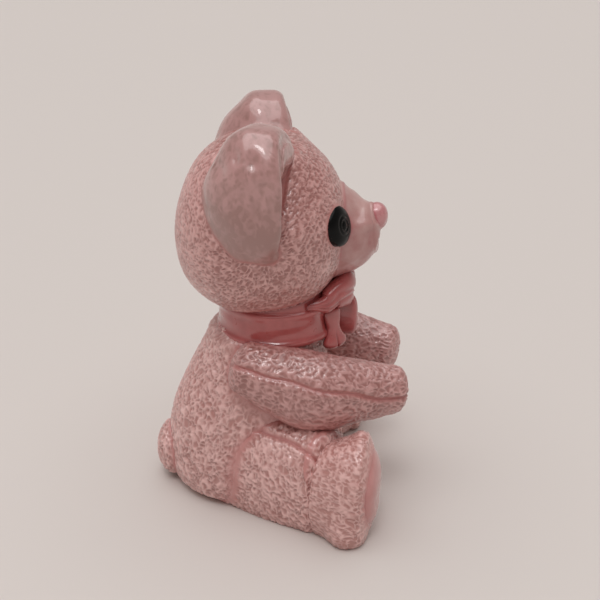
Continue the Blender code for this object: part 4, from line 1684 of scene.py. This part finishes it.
@dataclass(frozen=True)
class Eyes(Pair):
    """Two black beads with rings round the pupil, sunk in the skin of the head.

    A ring holds its radius, its spread and how far it is raised.
    """

    radius: float = 6.2
    dome: float = 2.6
    sunk: float = 1.5
    proud: float = 0.2
    pole: float = 0.3
    back_depth: float = 1.0
    wall_depth: float = 0.6
    cell: float = 0.3
    gaze: float = math.radians(15.0)
    side: float = 13.4
    up: float = 95.5
    back_rows: int = 12
    wall_rows: int = 8
    dome_rows: int = 62
    rings: tuple[Triple, ...] = (
        (1.5, 0.34, -0.26),
        (2.9, 0.42, -0.16),
        (0.0, 0.8, 0.18),
    )
    head: Head = Head()

    def axis(self, side: Side) -> tuple[Array, Array]:
        """Where a bead stands on the head's skin, and the way that it faces, a little upwards.

        Args:
            side: The side of the bear.

        Returns:
            The place, and the way of a length of one.
        """
        skin = self.head.form().front(self.side, self.up)
        ahead, aside = unit(np.array([skin - self.head.forward, self.side]))
        origin = np.array([side.sign * self.side, -skin, self.up])
        return origin, unit(np.array([side.sign * aside, -ahead, math.tan(self.gaze)]))

    def form(self, side: Side) -> Loft:
        """The bead's outer form, for its neighbours.

        Args:
            side: The side of the bear.

        Returns:
            The form.
        """
        origin, along = self.axis(side)
        ends = tuple(
            Section(-place[1], place[0], place[2], self.radius, self.radius)
            for place in (origin - along * self.sunk, origin + along * self.proud)
        )
        return Loft(ends, 1.0, self.dome)

    def profile(self) -> Array:
        """The bead from its back to the top of its dome, with the pupil's rings pressed in.

        Returns:
            The rows, as height, radius and radius again.
        """
        flat = np.linspace(self.pole, self.radius, self.back_rows)
        back = np.column_stack([np.full(self.back_rows, -self.sunk - self.back_depth), flat])
        wall = np.linspace(-self.sunk - self.wall_depth, 0.0, self.wall_rows)
        wall = np.column_stack([wall, np.full(self.wall_rows, self.radius)])
        angles = np.linspace(0.0, QUARTER_TURN, self.dome_rows + 2)[1:-1]
        radius = self.radius * np.cos(angles)
        height = self.dome * np.sin(angles)
        for place, spread, rise in self.rings:
            height = height + rise * bump(radius, place, spread)
        return np.concatenate([back, wall, np.column_stack([height, radius])])[:, [0, 1, 1]]

    def half(self, side: Side, bear: "Bear") -> list[Piece]:
        """One bead.

        Args:
            side: The side of the bear.
            bear: The whole bear.

        Returns:
            The pieces.
        """
        origin, along = self.axis(side)
        across = unit(np.cross(UP, along))
        stack = Stack(origin, along, across, np.cross(along, across), self.profile(), cell=self.cell)
        return [Piece(f"eye_{side.value}", Slot.EYE, BLACK, stack.skin(), fillet=0.4)]


@dataclass(frozen=True)
class Seam:
    """A seam pressed in along a limb, with a soft bank on either side.

    Attributes:
        angles: Its angles up from level on the outer side, in degrees, at even distances.
        depth: How deep it is pressed.
        half_width: Half of its width.
        start: The shares of the limb's length between which it starts.
        bank_place: How far its banks lie from it, in half widths.
        bank_spread: The spread of its banks, in half widths.
        bank_height: The height of its banks, in depths.
        wander: How it wanders: each row holds an angle, and the waves' turn along the limb.
    """

    angles: Row
    depth: float
    half_width: float
    start: Span = (0.02, 0.07)
    bank_place: float = 2.6
    bank_spread: float = 1.5
    bank_height: float = 0.25
    wander: Rows = ((0.025, 9.0 * math.pi), (0.015, 23.0))

    def turns(self, side: Side, count: int) -> Array:
        """The angle of the seam round each row, on the smooth curve through its own angles."""
        along = np.radians(smooth([(angle,) for angle in self.angles], count))
        return along if side is Side.LEFT else math.pi - along

    def press(self, side: Side, skin: Skin) -> tuple[Array, Array]:
        """The seam's groove and the relief that it gives.

        The groove is a hump in the distance round the section from the seam's angle, and it
        wanders a little with its place along the limb.

        Args:
            side: The side of the bear.
            skin: The plain surface.

        Returns:
            How much of the groove is at each point, and the relief in millimetres.
        """
        centres = skin.points.mean(axis=1, keepdims=True)
        radius = np.linalg.norm(skin.points - centres, axis=-1)
        shares = skin.shares()
        wander = sum(angle * np.sin(waves * shares) for angle, waves in self.wander)
        turned = np.angle(np.exp(1j * (skin.angles - self.turns(side, len(shares)) - wander)))
        away = np.abs(turned * radius)
        groove = bump(away, 0.0, self.half_width) * ease(shares, *self.start)
        banks = bump(away, self.bank_place * self.half_width, self.bank_spread * self.half_width)
        return groove, -self.depth * groove + self.bank_height * self.depth * banks


@dataclass(frozen=True)
class Arms(Pair):
    """Two plump arms that reach forward, with a seam along the outer side.

    A row of the swell holds a share of the upper arm's length, of its width and of its height.
    """

    half_width: float = 10.4
    half_height: float = 13.0
    swell: tuple[Triple, ...] = (
        (0.0, 0.70, 0.66),
        (0.48, 0.90, 0.88),
        (1.0, 1.0, 1.0),
    )
    forearm: float = 0.54
    paw_half_width: float = 6.6
    paw_half_height: float = 7.9
    paw_dome: float = 5.3
    shoulder: Triple = (0.0, 20.0, 51.0)
    shoulder_dome: float = 4.6
    elbow: Triple = (22.0, 20.5, 42.5)
    paw: Triple = (45.5, 15.0, 40.5)
    seam: Seam = Seam((24.0, 21.0, 31.0, 25.0, 0.0, 8.0), 0.75, 0.66)
    # Below the arm the coat is gone and the glaze pools, with painted shade there as well.
    under_turn: float = 0.7
    under_place: Span = (0.5, 0.2)
    under_pool_and_painted_shade: float = 0.6
    under_bare: float = 0.9
    wrist_place: Span = (0.77, 0.13)
    wrist_swell: float = 0.8
    # Painted light: the paw's inner side is drawn paler, for the light bounced onto it.
    paw_painted_light: float = 0.4
    paw_span: Span = (0.5, 0.8)
    coat: Coat = Coat(1.55, 0.41, 0.37, grain=(0.0, 1.0, -0.2), stretch=1.3, seed=71)

    def form(self, side: Side) -> Loft:
        """The arm's sections from the shoulder to the paw.

        Args:
            side: The side of the bear.

        Returns:
            The form.
        """
        shoulder, elbow, paw = (np.array(point) for point in (self.shoulder, self.elbow, self.paw))
        full = np.array([self.half_width, self.half_height])
        end = np.array([self.paw_half_width, self.paw_half_height])
        rows = [
            (*(shoulder + (elbow - shoulder) * share), wide * full[0], high * full[1])
            for share, wide, high in self.swell
        ]
        rows.append((*(elbow + (paw - elbow) * self.forearm), *(full + (end - full) * self.forearm)))
        rows.append((*paw, *end))
        return Loft(sided(side, rows), self.shoulder_dome, self.paw_dome, cell=LIMB_CELL, end_power=2.7)

    def half(self, side: Side, bear: "Bear") -> list[Piece]:
        """One arm. Below it the coat is gone, the glaze pools and painted shade darkens it, and
        the wrist swells.

        Args:
            side: The side of the bear.
            bear: The whole bear.

        Returns:
            The pieces.
        """
        skin = self.form(side).skin()
        groove, relief = self.seam.press(side, skin)
        below = bump(skin.angles, 3.0 * QUARTER_TURN, self.under_turn)
        # Painted shade and pooling glaze on the arm's underside.
        under = below * bump(skin.shares(), *self.under_place)
        wrist = below * bump(skin.shares(), *self.wrist_place)
        # Painted light on the paw's inner side.
        inner = 0.5 - 0.5 * side.sign * np.cos(skin.angles)
        arm = Piece(
            f"arm_{side.value}", Slot.FUR, FUR, skin,
            self.coat.beside(side),
            (bear.body, bear.ribbon),
            relief=relief + self.wrist_swell * wrist,
            pooled_and_painted_shade=np.maximum(SEAM_POOLED * groove, self.under_pool_and_painted_shade * under),
            cover=(1.0 - groove) * (1.0 - self.under_bare * under),
            thinning_and_painted_light=self.paw_painted_light * inner * ease(skin.shares(), *self.paw_span),
            bare=1.5,
            fillet=0.5,
            pooling=1.7,
            pool_strength=0.9,
        )
        return [arm]


@dataclass(frozen=True)
class Legs(Pair):
    """Two short splayed thighs, with a seam along the top and a lumpy crest beside it."""

    half_width: float = 13.6
    half_height: float = 19.4
    end_share: float = 0.94
    squareness: float = 2.5
    hip: Triple = (-3.0, 9.4, 12.4)
    hip_dome: float = 4.0
    ankle: Triple = (24.0, 26.4, 12.2)
    ankle_dome: float = 4.7
    seam: Seam = Seam((50.0, 58.0, 66.0, 66.0, 60.0, 50.0), 1.1, 0.6)
    crest_turn: float = 0.34
    crest_spread: float = 0.2
    crest_height: float = 0.8
    lump_height: float = 0.5
    lump_length: float = 6.0
    coat: Coat = Coat(1.6, 0.62, 0.35, grain=(0.0, 0.4, 0.9), stretch=1.15, seed=81)

    def form(self, side: Side) -> Loft:
        """The thigh's sections from the hip to the ankle.

        Args:
            side: The side of the bear.

        Returns:
            The form.
        """
        hip, ankle = np.array(self.hip), np.array(self.ankle)
        rows = [
            (*place, share * self.half_width, share * self.half_height)
            for place, share in ((hip, self.end_share), (0.5 * (hip + ankle), 1.0), (ankle, self.end_share))
        ]
        sections = sided(side, rows, self.squareness)
        return Loft(sections, self.hip_dome, self.ankle_dome, cell=LIMB_CELL, end_power=2.4)

    def half(self, side: Side, bear: "Bear") -> list[Piece]:
        """One thigh.

        Args:
            side: The side of the bear.
            bear: The whole bear.

        Returns:
            The pieces.
        """
        skin = self.form(side).skin()
        groove, relief = self.seam.press(side, skin)
        crest = self.seam.turns(side, len(skin.points)) + side.sign * self.crest_turn
        turned = np.angle(np.exp(1j * (skin.angles - crest)))
        lumps = 1.0 + self.lump_height * skin.ripples(self.lump_length, 83)
        thigh = Piece(
            f"leg_{side.value}", Slot.FUR, BOUNCE_LIT_BODY_FUR, skin,
            self.coat.beside(side),
            (bear.body, bear.feet.form(side)),
            relief=relief + self.crest_height * bump(turned, 0.0, self.crest_spread) * lumps,
            pooled_and_painted_shade=SEAM_POOLED * groove,
            cover=1.0 - groove,
            stands=True,
            fillet=3.2,
            pooling=1.0,
            pool_strength=0.6,
        )
        return [thigh]


@dataclass(frozen=True)
class Feet(Pair):
    """Two feet that flare to an upright sole with a scalloped rim round a smooth pad."""

    heel: Row = (26.8, 29.3, 12.6, 12.3, 16.8)
    heel_dome: float = 2.4
    instep: Row = (31.4, 32.4, 14.4, 12.8, 17.8)
    sole: Triple = (39.6, 34.2, 15.8)
    half_width: float = 12.6
    half_height: float = 18.6
    squareness: float = 2.2
    sole_turn: float = math.radians(8.0)
    leg_turn: float = math.atan2(Legs.ankle[1] - Legs.hip[1], Legs.ankle[0] - Legs.hip[0])
    rounding: float = 4.6
    pad_half_width: float = 9.8
    pad_half_height: float = 13.8
    pad_squareness: float = 2.1
    pad_up: float = 16.6
    pad_dome: float = 4.2
    pad_seat: float = 3.0
    pad_swell: float = 0.12
    pad_swell_length: float = 10.0
    rim_inset: float = 1.6
    rim_span: Span = (-12.0, -2.0)
    rim_place: Span = (-2.6, 1.7)
    flare: float = 3.8
    flare_side: Span = (-6.0, 2.0)
    flare_up: Span = (13.0, 0.0)
    flare_back: Span = (-16.0, -9.0)
    flare_front: Span = (2.0, -7.0)
    reach: float = 46.0
    scallops: int = 17
    scallop_height: float = 0.35
    scallop_ripple: float = 0.5
    scallop_length: float = 7.0
    sole_bare: float = 0.8
    sole_span: Span = (-2.4, 0.0)
    coat: Coat = Coat(1.5, 0.36, 0.34, grain=(0.0, 1.0, 0.1), stretch=1.5, seed=91)

    def station(self, along: float, up: float, side: Side, *size: float) -> Section:
        """A section parallel to the sole, this far in front of its rim.

        Args:
            along: How far in front of the sole's rim, less than nothing behind it.
            up: The height of its middle.
            side: The side of the bear.
            size: Its half width, half height and squareness.

        Returns:
            The section.
        """
        forward = self.sole[0] + along * math.cos(self.sole_turn)
        aside = self.sole[1] + along * math.sin(self.sole_turn)
        return Section(forward, side.sign * aside, up, *size)

    def form(self, side: Side) -> Loft:
        """The foot's sections from the heel to the sole.

        Args:
            side: The side of the bear.

        Returns:
            The form.
        """
        size = (self.half_width, self.half_height, self.squareness)
        front = self.station(-self.rounding, self.sole[2], side, *size)
        sections = (*sided(side, (self.heel, self.instep), self.squareness), front)
        turns = (side.sign * self.leg_turn, side.sign * self.sole_turn)
        return Loft(sections, self.heel_dome, self.rounding, turns, cell=LIMB_CELL, end_power=3.4)

    def pad_form(self, side: Side) -> Loft:
        """The pad, from its seat in the sole forwards.

        Args:
            side: The side of the bear.

        Returns:
            The form.
        """
        size = (self.pad_half_width, self.pad_half_height, self.pad_squareness)
        ends = (-self.pad_seat, -0.5 * self.pad_seat)
        sections = tuple(self.station(along, self.pad_up, side, *size) for along in ends)
        turn = side.sign * self.sole_turn
        return Loft(sections, 0.8, self.pad_dome, (turn, turn))

    def half(self, side: Side, bear: "Bear") -> list[Piece]:
        """One foot and its pad.

        The rim is drawn in at its sides, and the foot flares outwards low down behind it.

        Args:
            side: The side of the bear.
            bear: The whole bear.

        Returns:
            The pieces.
        """
        pad, foot = self.pad_form(side), self.form(side)
        skin = foot.skin()
        middle = np.array([side.sign * self.sole[1], -self.sole[0], self.sole[2]])
        along = facing(side, self.sole_turn)
        ahead = (skin.points - middle) @ along
        drawn_in = self.rim_inset * ease(ahead, *self.rim_span) * np.abs(np.cos(skin.angles)) ** 2
        skin.points -= drawn_in[..., None] * along
        outer = ease(side.sign * (skin.points[..., 0] - middle[0]), *self.flare_side)
        low = ease(skin.points[..., 2], *self.flare_up)
        low = low * ease(ahead, *self.flare_back) * ease(ahead, *self.flare_front)
        aside = side.sign * skin.points[..., 0] + self.flare * outer * low
        skin.points[..., 0] = side.sign * np.minimum(aside, self.reach)
        wave = 0.5 + 0.5 * np.cos(self.scallops * skin.angles)
        wave = wave * (1.0 + self.scallop_ripple * skin.ripples(self.scallop_length, 93))
        casting = Piece(
            f"foot_{side.value}", Slot.FUR, BOUNCE_LIT_BODY_FUR, skin,
            self.coat.beside(side),
            (bear.legs.form(side), pad),
            relief=self.scallop_height * bump(ahead, *self.rim_place) * wave,
            cover=1.0 - self.sole_bare * ease(ahead, *self.sole_span),
            fillet=3.0,
            pooling=1.0,
            pool_strength=0.6,
            thinning_and_painted_light=-0.12,
            stands=True,
        )
        pad_skin = pad.skin()
        swell = self.pad_swell * pad_skin.ripples(self.pad_swell_length, 97)
        name = f"sole_pad_{side.value}"
        return [casting, Piece(name, Slot.PAD, SOLE, pad_skin, None, (foot,), relief=swell, fillet=1.0)]


@dataclass(frozen=True)
class Ribbon(SubAssembly):
    """The ribbon round the neck, with a rolled hem below and a soft ledge above.

    A row of the outline holds a height above the lower edge and a distance beyond the radius.
    """

    forward: float = 9.4
    half_width: float = 18.9
    low: float = 56.6
    tall: float = 15.8
    thickness: float = 3.2
    outline: tuple[Span, ...] = (
        (0.1, -1.4),
        (-0.1, -0.6),
        (0.5, 0.15),
        (1.6, 0.3),
        (2.9, -0.35),
        (5.5, -0.45),
        (8.5, -0.25),
        (10.1, 0.1),
        (11.0, -0.1),
        (11.7, -0.9),
        (13.4, -1.5),
        (15.8, -2.1),
    )
    hem_up: float = 0.4
    cell: float = 0.45
    outside_cell: float = 0.3
    inside_cell: float = 1.2
    fold_height: float = 0.16
    fold_length: float = 5.5
    fold_stretch: float = 0.35
    samples: int = 300

    def profile(self) -> Array:
        """The closed outline of the ribbon's wall: up the outside and down the inside.

        The rows hold the height and twice the radius.

        Returns:
            The rows.
        """
        outside = [(self.low + up, self.half_width + out) for up, out in self.outline]
        inner = self.half_width - self.thickness
        inside = np.array([(self.low + self.tall, inner), (self.low + self.hem_up, inner)])
        path = evenly(smooth(outside, self.samples), self.outside_cell)
        return np.concatenate([path, evenly(inside, self.inside_cell)])[:, [0, 1, 1]]

    def clearance(self, points: Array) -> Array:
        """The distance outside the ribbon: round it, above it or below it.

        Args:
            points: The places.

        Returns:
            The distances, less than nothing inside.
        """
        ahead = -points[:, 1] - self.forward
        round_it = np.hypot(points[:, 0], ahead) - self.half_width
        above = points[:, 2] - (self.low + self.tall)
        below = self.low - points[:, 2]
        return np.maximum(np.maximum(round_it, above), below)

    def shape(self, bear: "Bear") -> list[Piece]:
        """The ribbon, with shallow folds along it.

        Args:
            bear: The whole bear.

        Returns:
            The pieces.
        """
        origin = np.array([0.0, -self.forward, 0.0])
        skin = Stack(origin, UP, ASIDE, BACK, self.profile(), looped=True, cell=self.cell).skin()
        drawn_out = skin.points * np.array([self.fold_stretch, self.fold_stretch, 1.0])
        folds = self.fold_height * replace(skin, points=drawn_out).ripples(self.fold_length, 101)
        near = (bear.head.form(), *bear.arms.forms())
        return [Piece("ribbon_band", Slot.RIBBON, BAND, skin, None, near, relief=folds, fillet=0.9)]


@dataclass(frozen=True)
class Bow(SubAssembly):
    """The bow: a pinched knot, two hairpin loops, made here as closed folded panels, and two tails,
    whose forked ends are made here as a crease down each flared end.

    A row of the loop holds its place as forward, aside and up, its half thickness and half
    height. A fold has its share of the loop's height, its depth and its spread. A row of the
    tail holds the distance along it and its two half widths.
    """

    knot_half_width: float = 3.3
    knot_half_height: float = 7.0
    knot_squareness: float = 2.4
    knot_proud: float = 7.4
    knot_up: float = 59.8
    knot_straight: float = 0.8
    pinches: tuple[Span, ...] = ((-1.1, 0.45), (1.3, 0.5))
    pinch_depth: float = 0.35
    loop: Rows = (
        (32.6, 0.6, 68.5, 1.8, 4.0),
        (31.8, 3.0, 70.4, 2.8, 5.6),
        (29.6, 6.0, 70.5, 3.3, 5.0),
        (27.2, 8.8, 70.5, 3.1, 3.9),
        (25.2, 11.4, 69.0, 2.0, 3.2),
        (22.4, 13.4, 69.2, 1.6, 1.8),
        (19.6, 15.2, 69.4, 1.1, 1.0),
    )
    loop_squareness: float = 2.3
    folds: tuple[Triple, ...] = (
        (0.30, 0.55, 0.225),
        (-0.38, 0.45, 0.18),
        (-0.85, -0.35, 0.1575),
    )
    fold_fading: float = 0.75
    fold_wander: Triple = (0.16, 11.0, 7.0)
    tail_start: Triple = (8.3, 27.0, 65.0)
    tail_way: Triple = (0.08, 0.10, -1.0)
    tail_turn: float = math.radians(44.0)
    tail_squareness: float = 2.5
    tail: Rows = (
        (-0.7, 1.2, 0.4),
        (-0.4, 2.8, 0.9),
        (0.6, 3.4, 1.3),
        (3.0, 3.0, 1.3),
        (5.6, 2.5, 1.2),
        (7.9, 3.3, 1.5),
        (9.8, 4.5, 2.0),
        (11.2, 4.3, 2.1),
        (12.1, 3.0, 1.5),
        (12.4, 1.0, 0.6),
    )
    tail_samples: int = 200
    crease: float = 0.65
    crease_place: Span = (-0.12, 0.16)
    crease_span: Span = (0.45, 0.75)
    cell: float = 0.25

    def knot_form(self, ribbon: Ribbon) -> Loft:
        """The knot, from its seat on the ribbon forwards.

        Args:
            ribbon: The ribbon that it sits on.

        Returns:
            The form.
        """
        middle = ribbon.forward + ribbon.half_width + self.knot_proud - self.knot_half_width
        size = (self.knot_half_width, self.knot_half_height, self.knot_squareness)
        ends = (middle - self.knot_proud, middle + self.knot_straight)
        sections = tuple(Section(forward, 0.0, self.knot_up, *size) for forward in ends)
        dome = self.knot_half_width - self.knot_straight
        return Loft(sections, 0.8, dome, cell=self.cell, end_power=2.6)

    def loop_form(self, side: Side) -> Loft:
        """One loop: a folded panel, tall beside the knot, that narrows round the neck."""
        return Loft(sided(side, self.loop, self.loop_squareness), 1.4, 1.0, cell=self.cell)

    def loop_folds(self, skin: Skin) -> Array:
        """The folds along a loop: grooves at set shares of its height, deepest by the knot.

        Args:
            skin: The plain surface.

        Returns:
            How deep the folds are at each point.
        """
        height = np.sin(skin.angles)
        near = 1.0 - self.fold_fading * skin.shares()
        wander, waves, shift = self.fold_wander
        total = np.zeros(skin.points.shape[:2])
        for share, deep, spread in self.folds:
            wave = wander * np.sin(waves * skin.shares() + shift * share)
            total += deep * bump(height, share + wave, spread) * near
        return total

    def tail_stack(self, side: Side) -> Stack:
        """One tail end: a strap that hangs beside the knot and flares to a rolled end.

        Args:
            side: The side of the bear.

        Returns:
            The strap.
        """
        aside, forward, up = self.tail_start
        out, ahead, rise = self.tail_way
        along = unit(np.array([side.sign * out, -ahead, rise]))
        across = np.array([-side.sign * math.sin(self.tail_turn), -math.cos(self.tail_turn), 0.0])
        over = unit(np.cross(along, across))
        profile = evenly(smooth(list(self.tail), self.tail_samples), self.cell)
        origin = np.array([side.sign * aside, -forward, up])
        return Stack(origin, along, across, over, profile, self.tail_squareness, cell=self.cell)

    def knot(self, bear: "Bear") -> Piece:
        """The knot, pinched along two lines.

        Args:
            bear: The whole bear.

        Returns:
            The piece.
        """
        skin = self.knot_form(bear.ribbon).skin()
        pinch = sum(bump(skin.points[..., 0], *place) for place in self.pinches)
        return Piece(
            "bow_knot", Slot.RIBBON, BAND, skin,
            neighbours=(bear.ribbon,),
            relief=-self.pinch_depth * pinch,
            pooled_and_painted_shade=0.3 * pinch,
            fillet=0.8,
        )

    def half(self, side: Side, bear: "Bear") -> list[Piece]:
        """The loop and the tail on one side.

        Args:
            side: The side of the bear.
            bear: The whole bear.

        Returns:
            The pieces.
        """
        near = (self.knot_form(bear.ribbon), bear.ribbon)
        loop = self.loop_form(side).skin()
        folds = self.loop_folds(loop)
        tail = self.tail_stack(side).skin()
        groove = bump(np.cos(tail.angles), *self.crease_place) * ease(tail.shares(), *self.crease_span)
        return [
            Piece(
                f"bow_loop_{side.value}", Slot.RIBBON, BAND, loop,
                neighbours=(*near, bear.head.form()),
                relief=-folds,
                pooled_and_painted_shade=0.5 * np.clip(folds, 0.0, 1.0),
                fillet=0.7,
            ),
            Piece(
                f"bow_tail_{side.value}", Slot.RIBBON, BAND, tail,
                neighbours=near,
                relief=-self.crease * groove,
                pooled_and_painted_shade=0.4 * groove,
                fillet=0.7,
            ),
        ]

    def shape(self, bear: "Bear") -> list[Piece]:
        """The knot, the loops and the tails."""
        return [self.knot(bear), *(piece for side in Side for piece in self.half(side, bear))]


@dataclass(frozen=True)
class Bear:
    """The whole bear, in the order in which it is put together."""

    body: Body = Body()
    head: Head = Head()
    ears: Ears = Ears()
    muzzle: Muzzle = Muzzle()
    eyes: Eyes = Eyes()
    arms: Arms = Arms()
    legs: Legs = Legs()
    feet: Feet = Feet()
    ribbon: Ribbon = Ribbon()
    bow: Bow = Bow()

    def sub_assemblies(self) -> tuple[SubAssembly, ...]:
        """Every sub-assembly."""
        upper = (self.body, self.head, self.ears, self.muzzle, self.eyes)
        return (*upper, self.arms, self.legs, self.feet, self.ribbon, self.bow)


@dataclass(frozen=True)
class Studio:
    """A pale floor under two lamps and a sky, and the camera at the photograph's angle.

    A row of the lamps holds the strength, the width of its disc and its tilt about two axes.
    The camera's target and distance are in metres, and all angles are in degrees.
    """

    floor_half: float = 6.0
    floor_up: float = -0.00005
    floor_roughness: float = 0.6
    floor_colour: Colour = (0.66, 0.61, 0.58)
    horizon_colour: Colour = (0.62, 0.555, 0.52)
    zenith_colour: Colour = (0.25, 0.226, 0.214)
    sky_stops: Span = (0.03, 0.42)
    lamps: Rows = ((1.92, 80.0, -4.0, 0.0), (0.38, 15.0, -4.0, -22.0))
    azimuth: float = -90.0
    elevation: float = 25.0
    distance: float = 0.361
    target: Triple = (0.0, -0.007086, 0.0648)
    lens: float = 67.2
    sensor: float = 36.0
    clip_start: float = 0.01

    def lay_floor(self) -> None:
        """One wide level sheet a little under the base."""
        half, low = self.floor_half, self.floor_up
        corners = [(-half, -half, low), (half, -half, low), (half, half, low), (-half, half, low)]
        mesh = bpy.data.meshes.new("studio_floor")
        mesh.from_pydata(corners, [], [(0, 1, 2, 3)])
        floor = bpy.data.objects.new("studio_floor", mesh)
        bpy.context.scene.collection.objects.link(floor)
        made = bpy.data.materials.new("floor_paper")
        made.use_nodes = True
        surface = made.node_tree.nodes["Principled BSDF"]
        surface.inputs["Base Color"].default_value = (*self.floor_colour, 1.0)
        surface.inputs["Roughness"].default_value = self.floor_roughness
        mesh.materials.append(made)

    def light(self) -> None:
        """A broad and a small lamp overhead, and a sky that is greyer above the horizon."""
        world = bpy.data.worlds.new("studio_sky")
        bpy.context.scene.world = world
        world.use_nodes = True
        nodes, links = world.node_tree.nodes, world.node_tree.links
        parts = nodes.new("ShaderNodeSeparateXYZ")
        links.new(nodes.new("ShaderNodeTexCoord").outputs["Generated"], parts.inputs["Vector"])
        fade = nodes.new("ShaderNodeValToRGB")
        colours = (self.horizon_colour, self.zenith_colour)
        for stop, place, colour in zip(fade.color_ramp.elements, self.sky_stops, colours):
            stop.position = place
            stop.color = (*colour, 1.0)
        links.new(parts.outputs["Z"], fade.inputs["Fac"])
        links.new(fade.outputs["Color"], nodes["Background"].inputs["Color"])
        for strength, spread, *tilt in self.lamps:
            lamp = bpy.data.lights.new("overhead_lamp", "SUN")
            lamp.energy = strength
            lamp.angle = math.radians(spread)
            made = bpy.data.objects.new("overhead_lamp", lamp)
            made.rotation_euler = tuple(math.radians(angle) for angle in (*tilt, 0.0))
            bpy.context.scene.collection.objects.link(made)

    def aim_camera(self) -> None:
        """The camera, which stands off the target along its azimuth and elevation."""
        azimuth, elevation = math.radians(self.azimuth), math.radians(self.elevation)
        level = np.array([math.sin(azimuth), -math.cos(azimuth), 0.0])
        away = level * math.cos(elevation) + UP * math.sin(elevation)
        lens = bpy.data.cameras.new("studio_camera")
        lens.lens = self.lens
        lens.sensor_width = self.sensor
        lens.clip_start = self.clip_start
        camera = bpy.data.objects.new("studio_camera", lens)
        camera.location = np.array(self.target) + away * self.distance
        camera.rotation_euler = (QUARTER_TURN - elevation, 0.0, azimuth)
        bpy.context.scene.collection.objects.link(camera)
        bpy.context.scene.camera = camera

    def build(self) -> None:
        """The whole studio."""
        bpy.context.scene.view_settings.view_transform = "Standard"
        self.lay_floor()
        self.light()
        self.aim_camera()


def torso_axis(bear: Bear) -> float:
    """Where the torso's axis is along the bear's length, in metres, from the head's solid."""
    low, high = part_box("head_casting")
    return 0.5 * (low[1] + high[1]) + bear.head.forward * MM


def main() -> None:
    """Builds the studio and every sub-assembly."""
    logging.basicConfig(level=logging.INFO, format="%(name)s: %(message)s")
    Studio().build()
    bear = Bear()
    kiln = Kiln(torso_axis(bear))
    for part in bear.sub_assemblies():
        part.dress(part.build(bear, kiln))


if __name__ == "__main__":
    main()
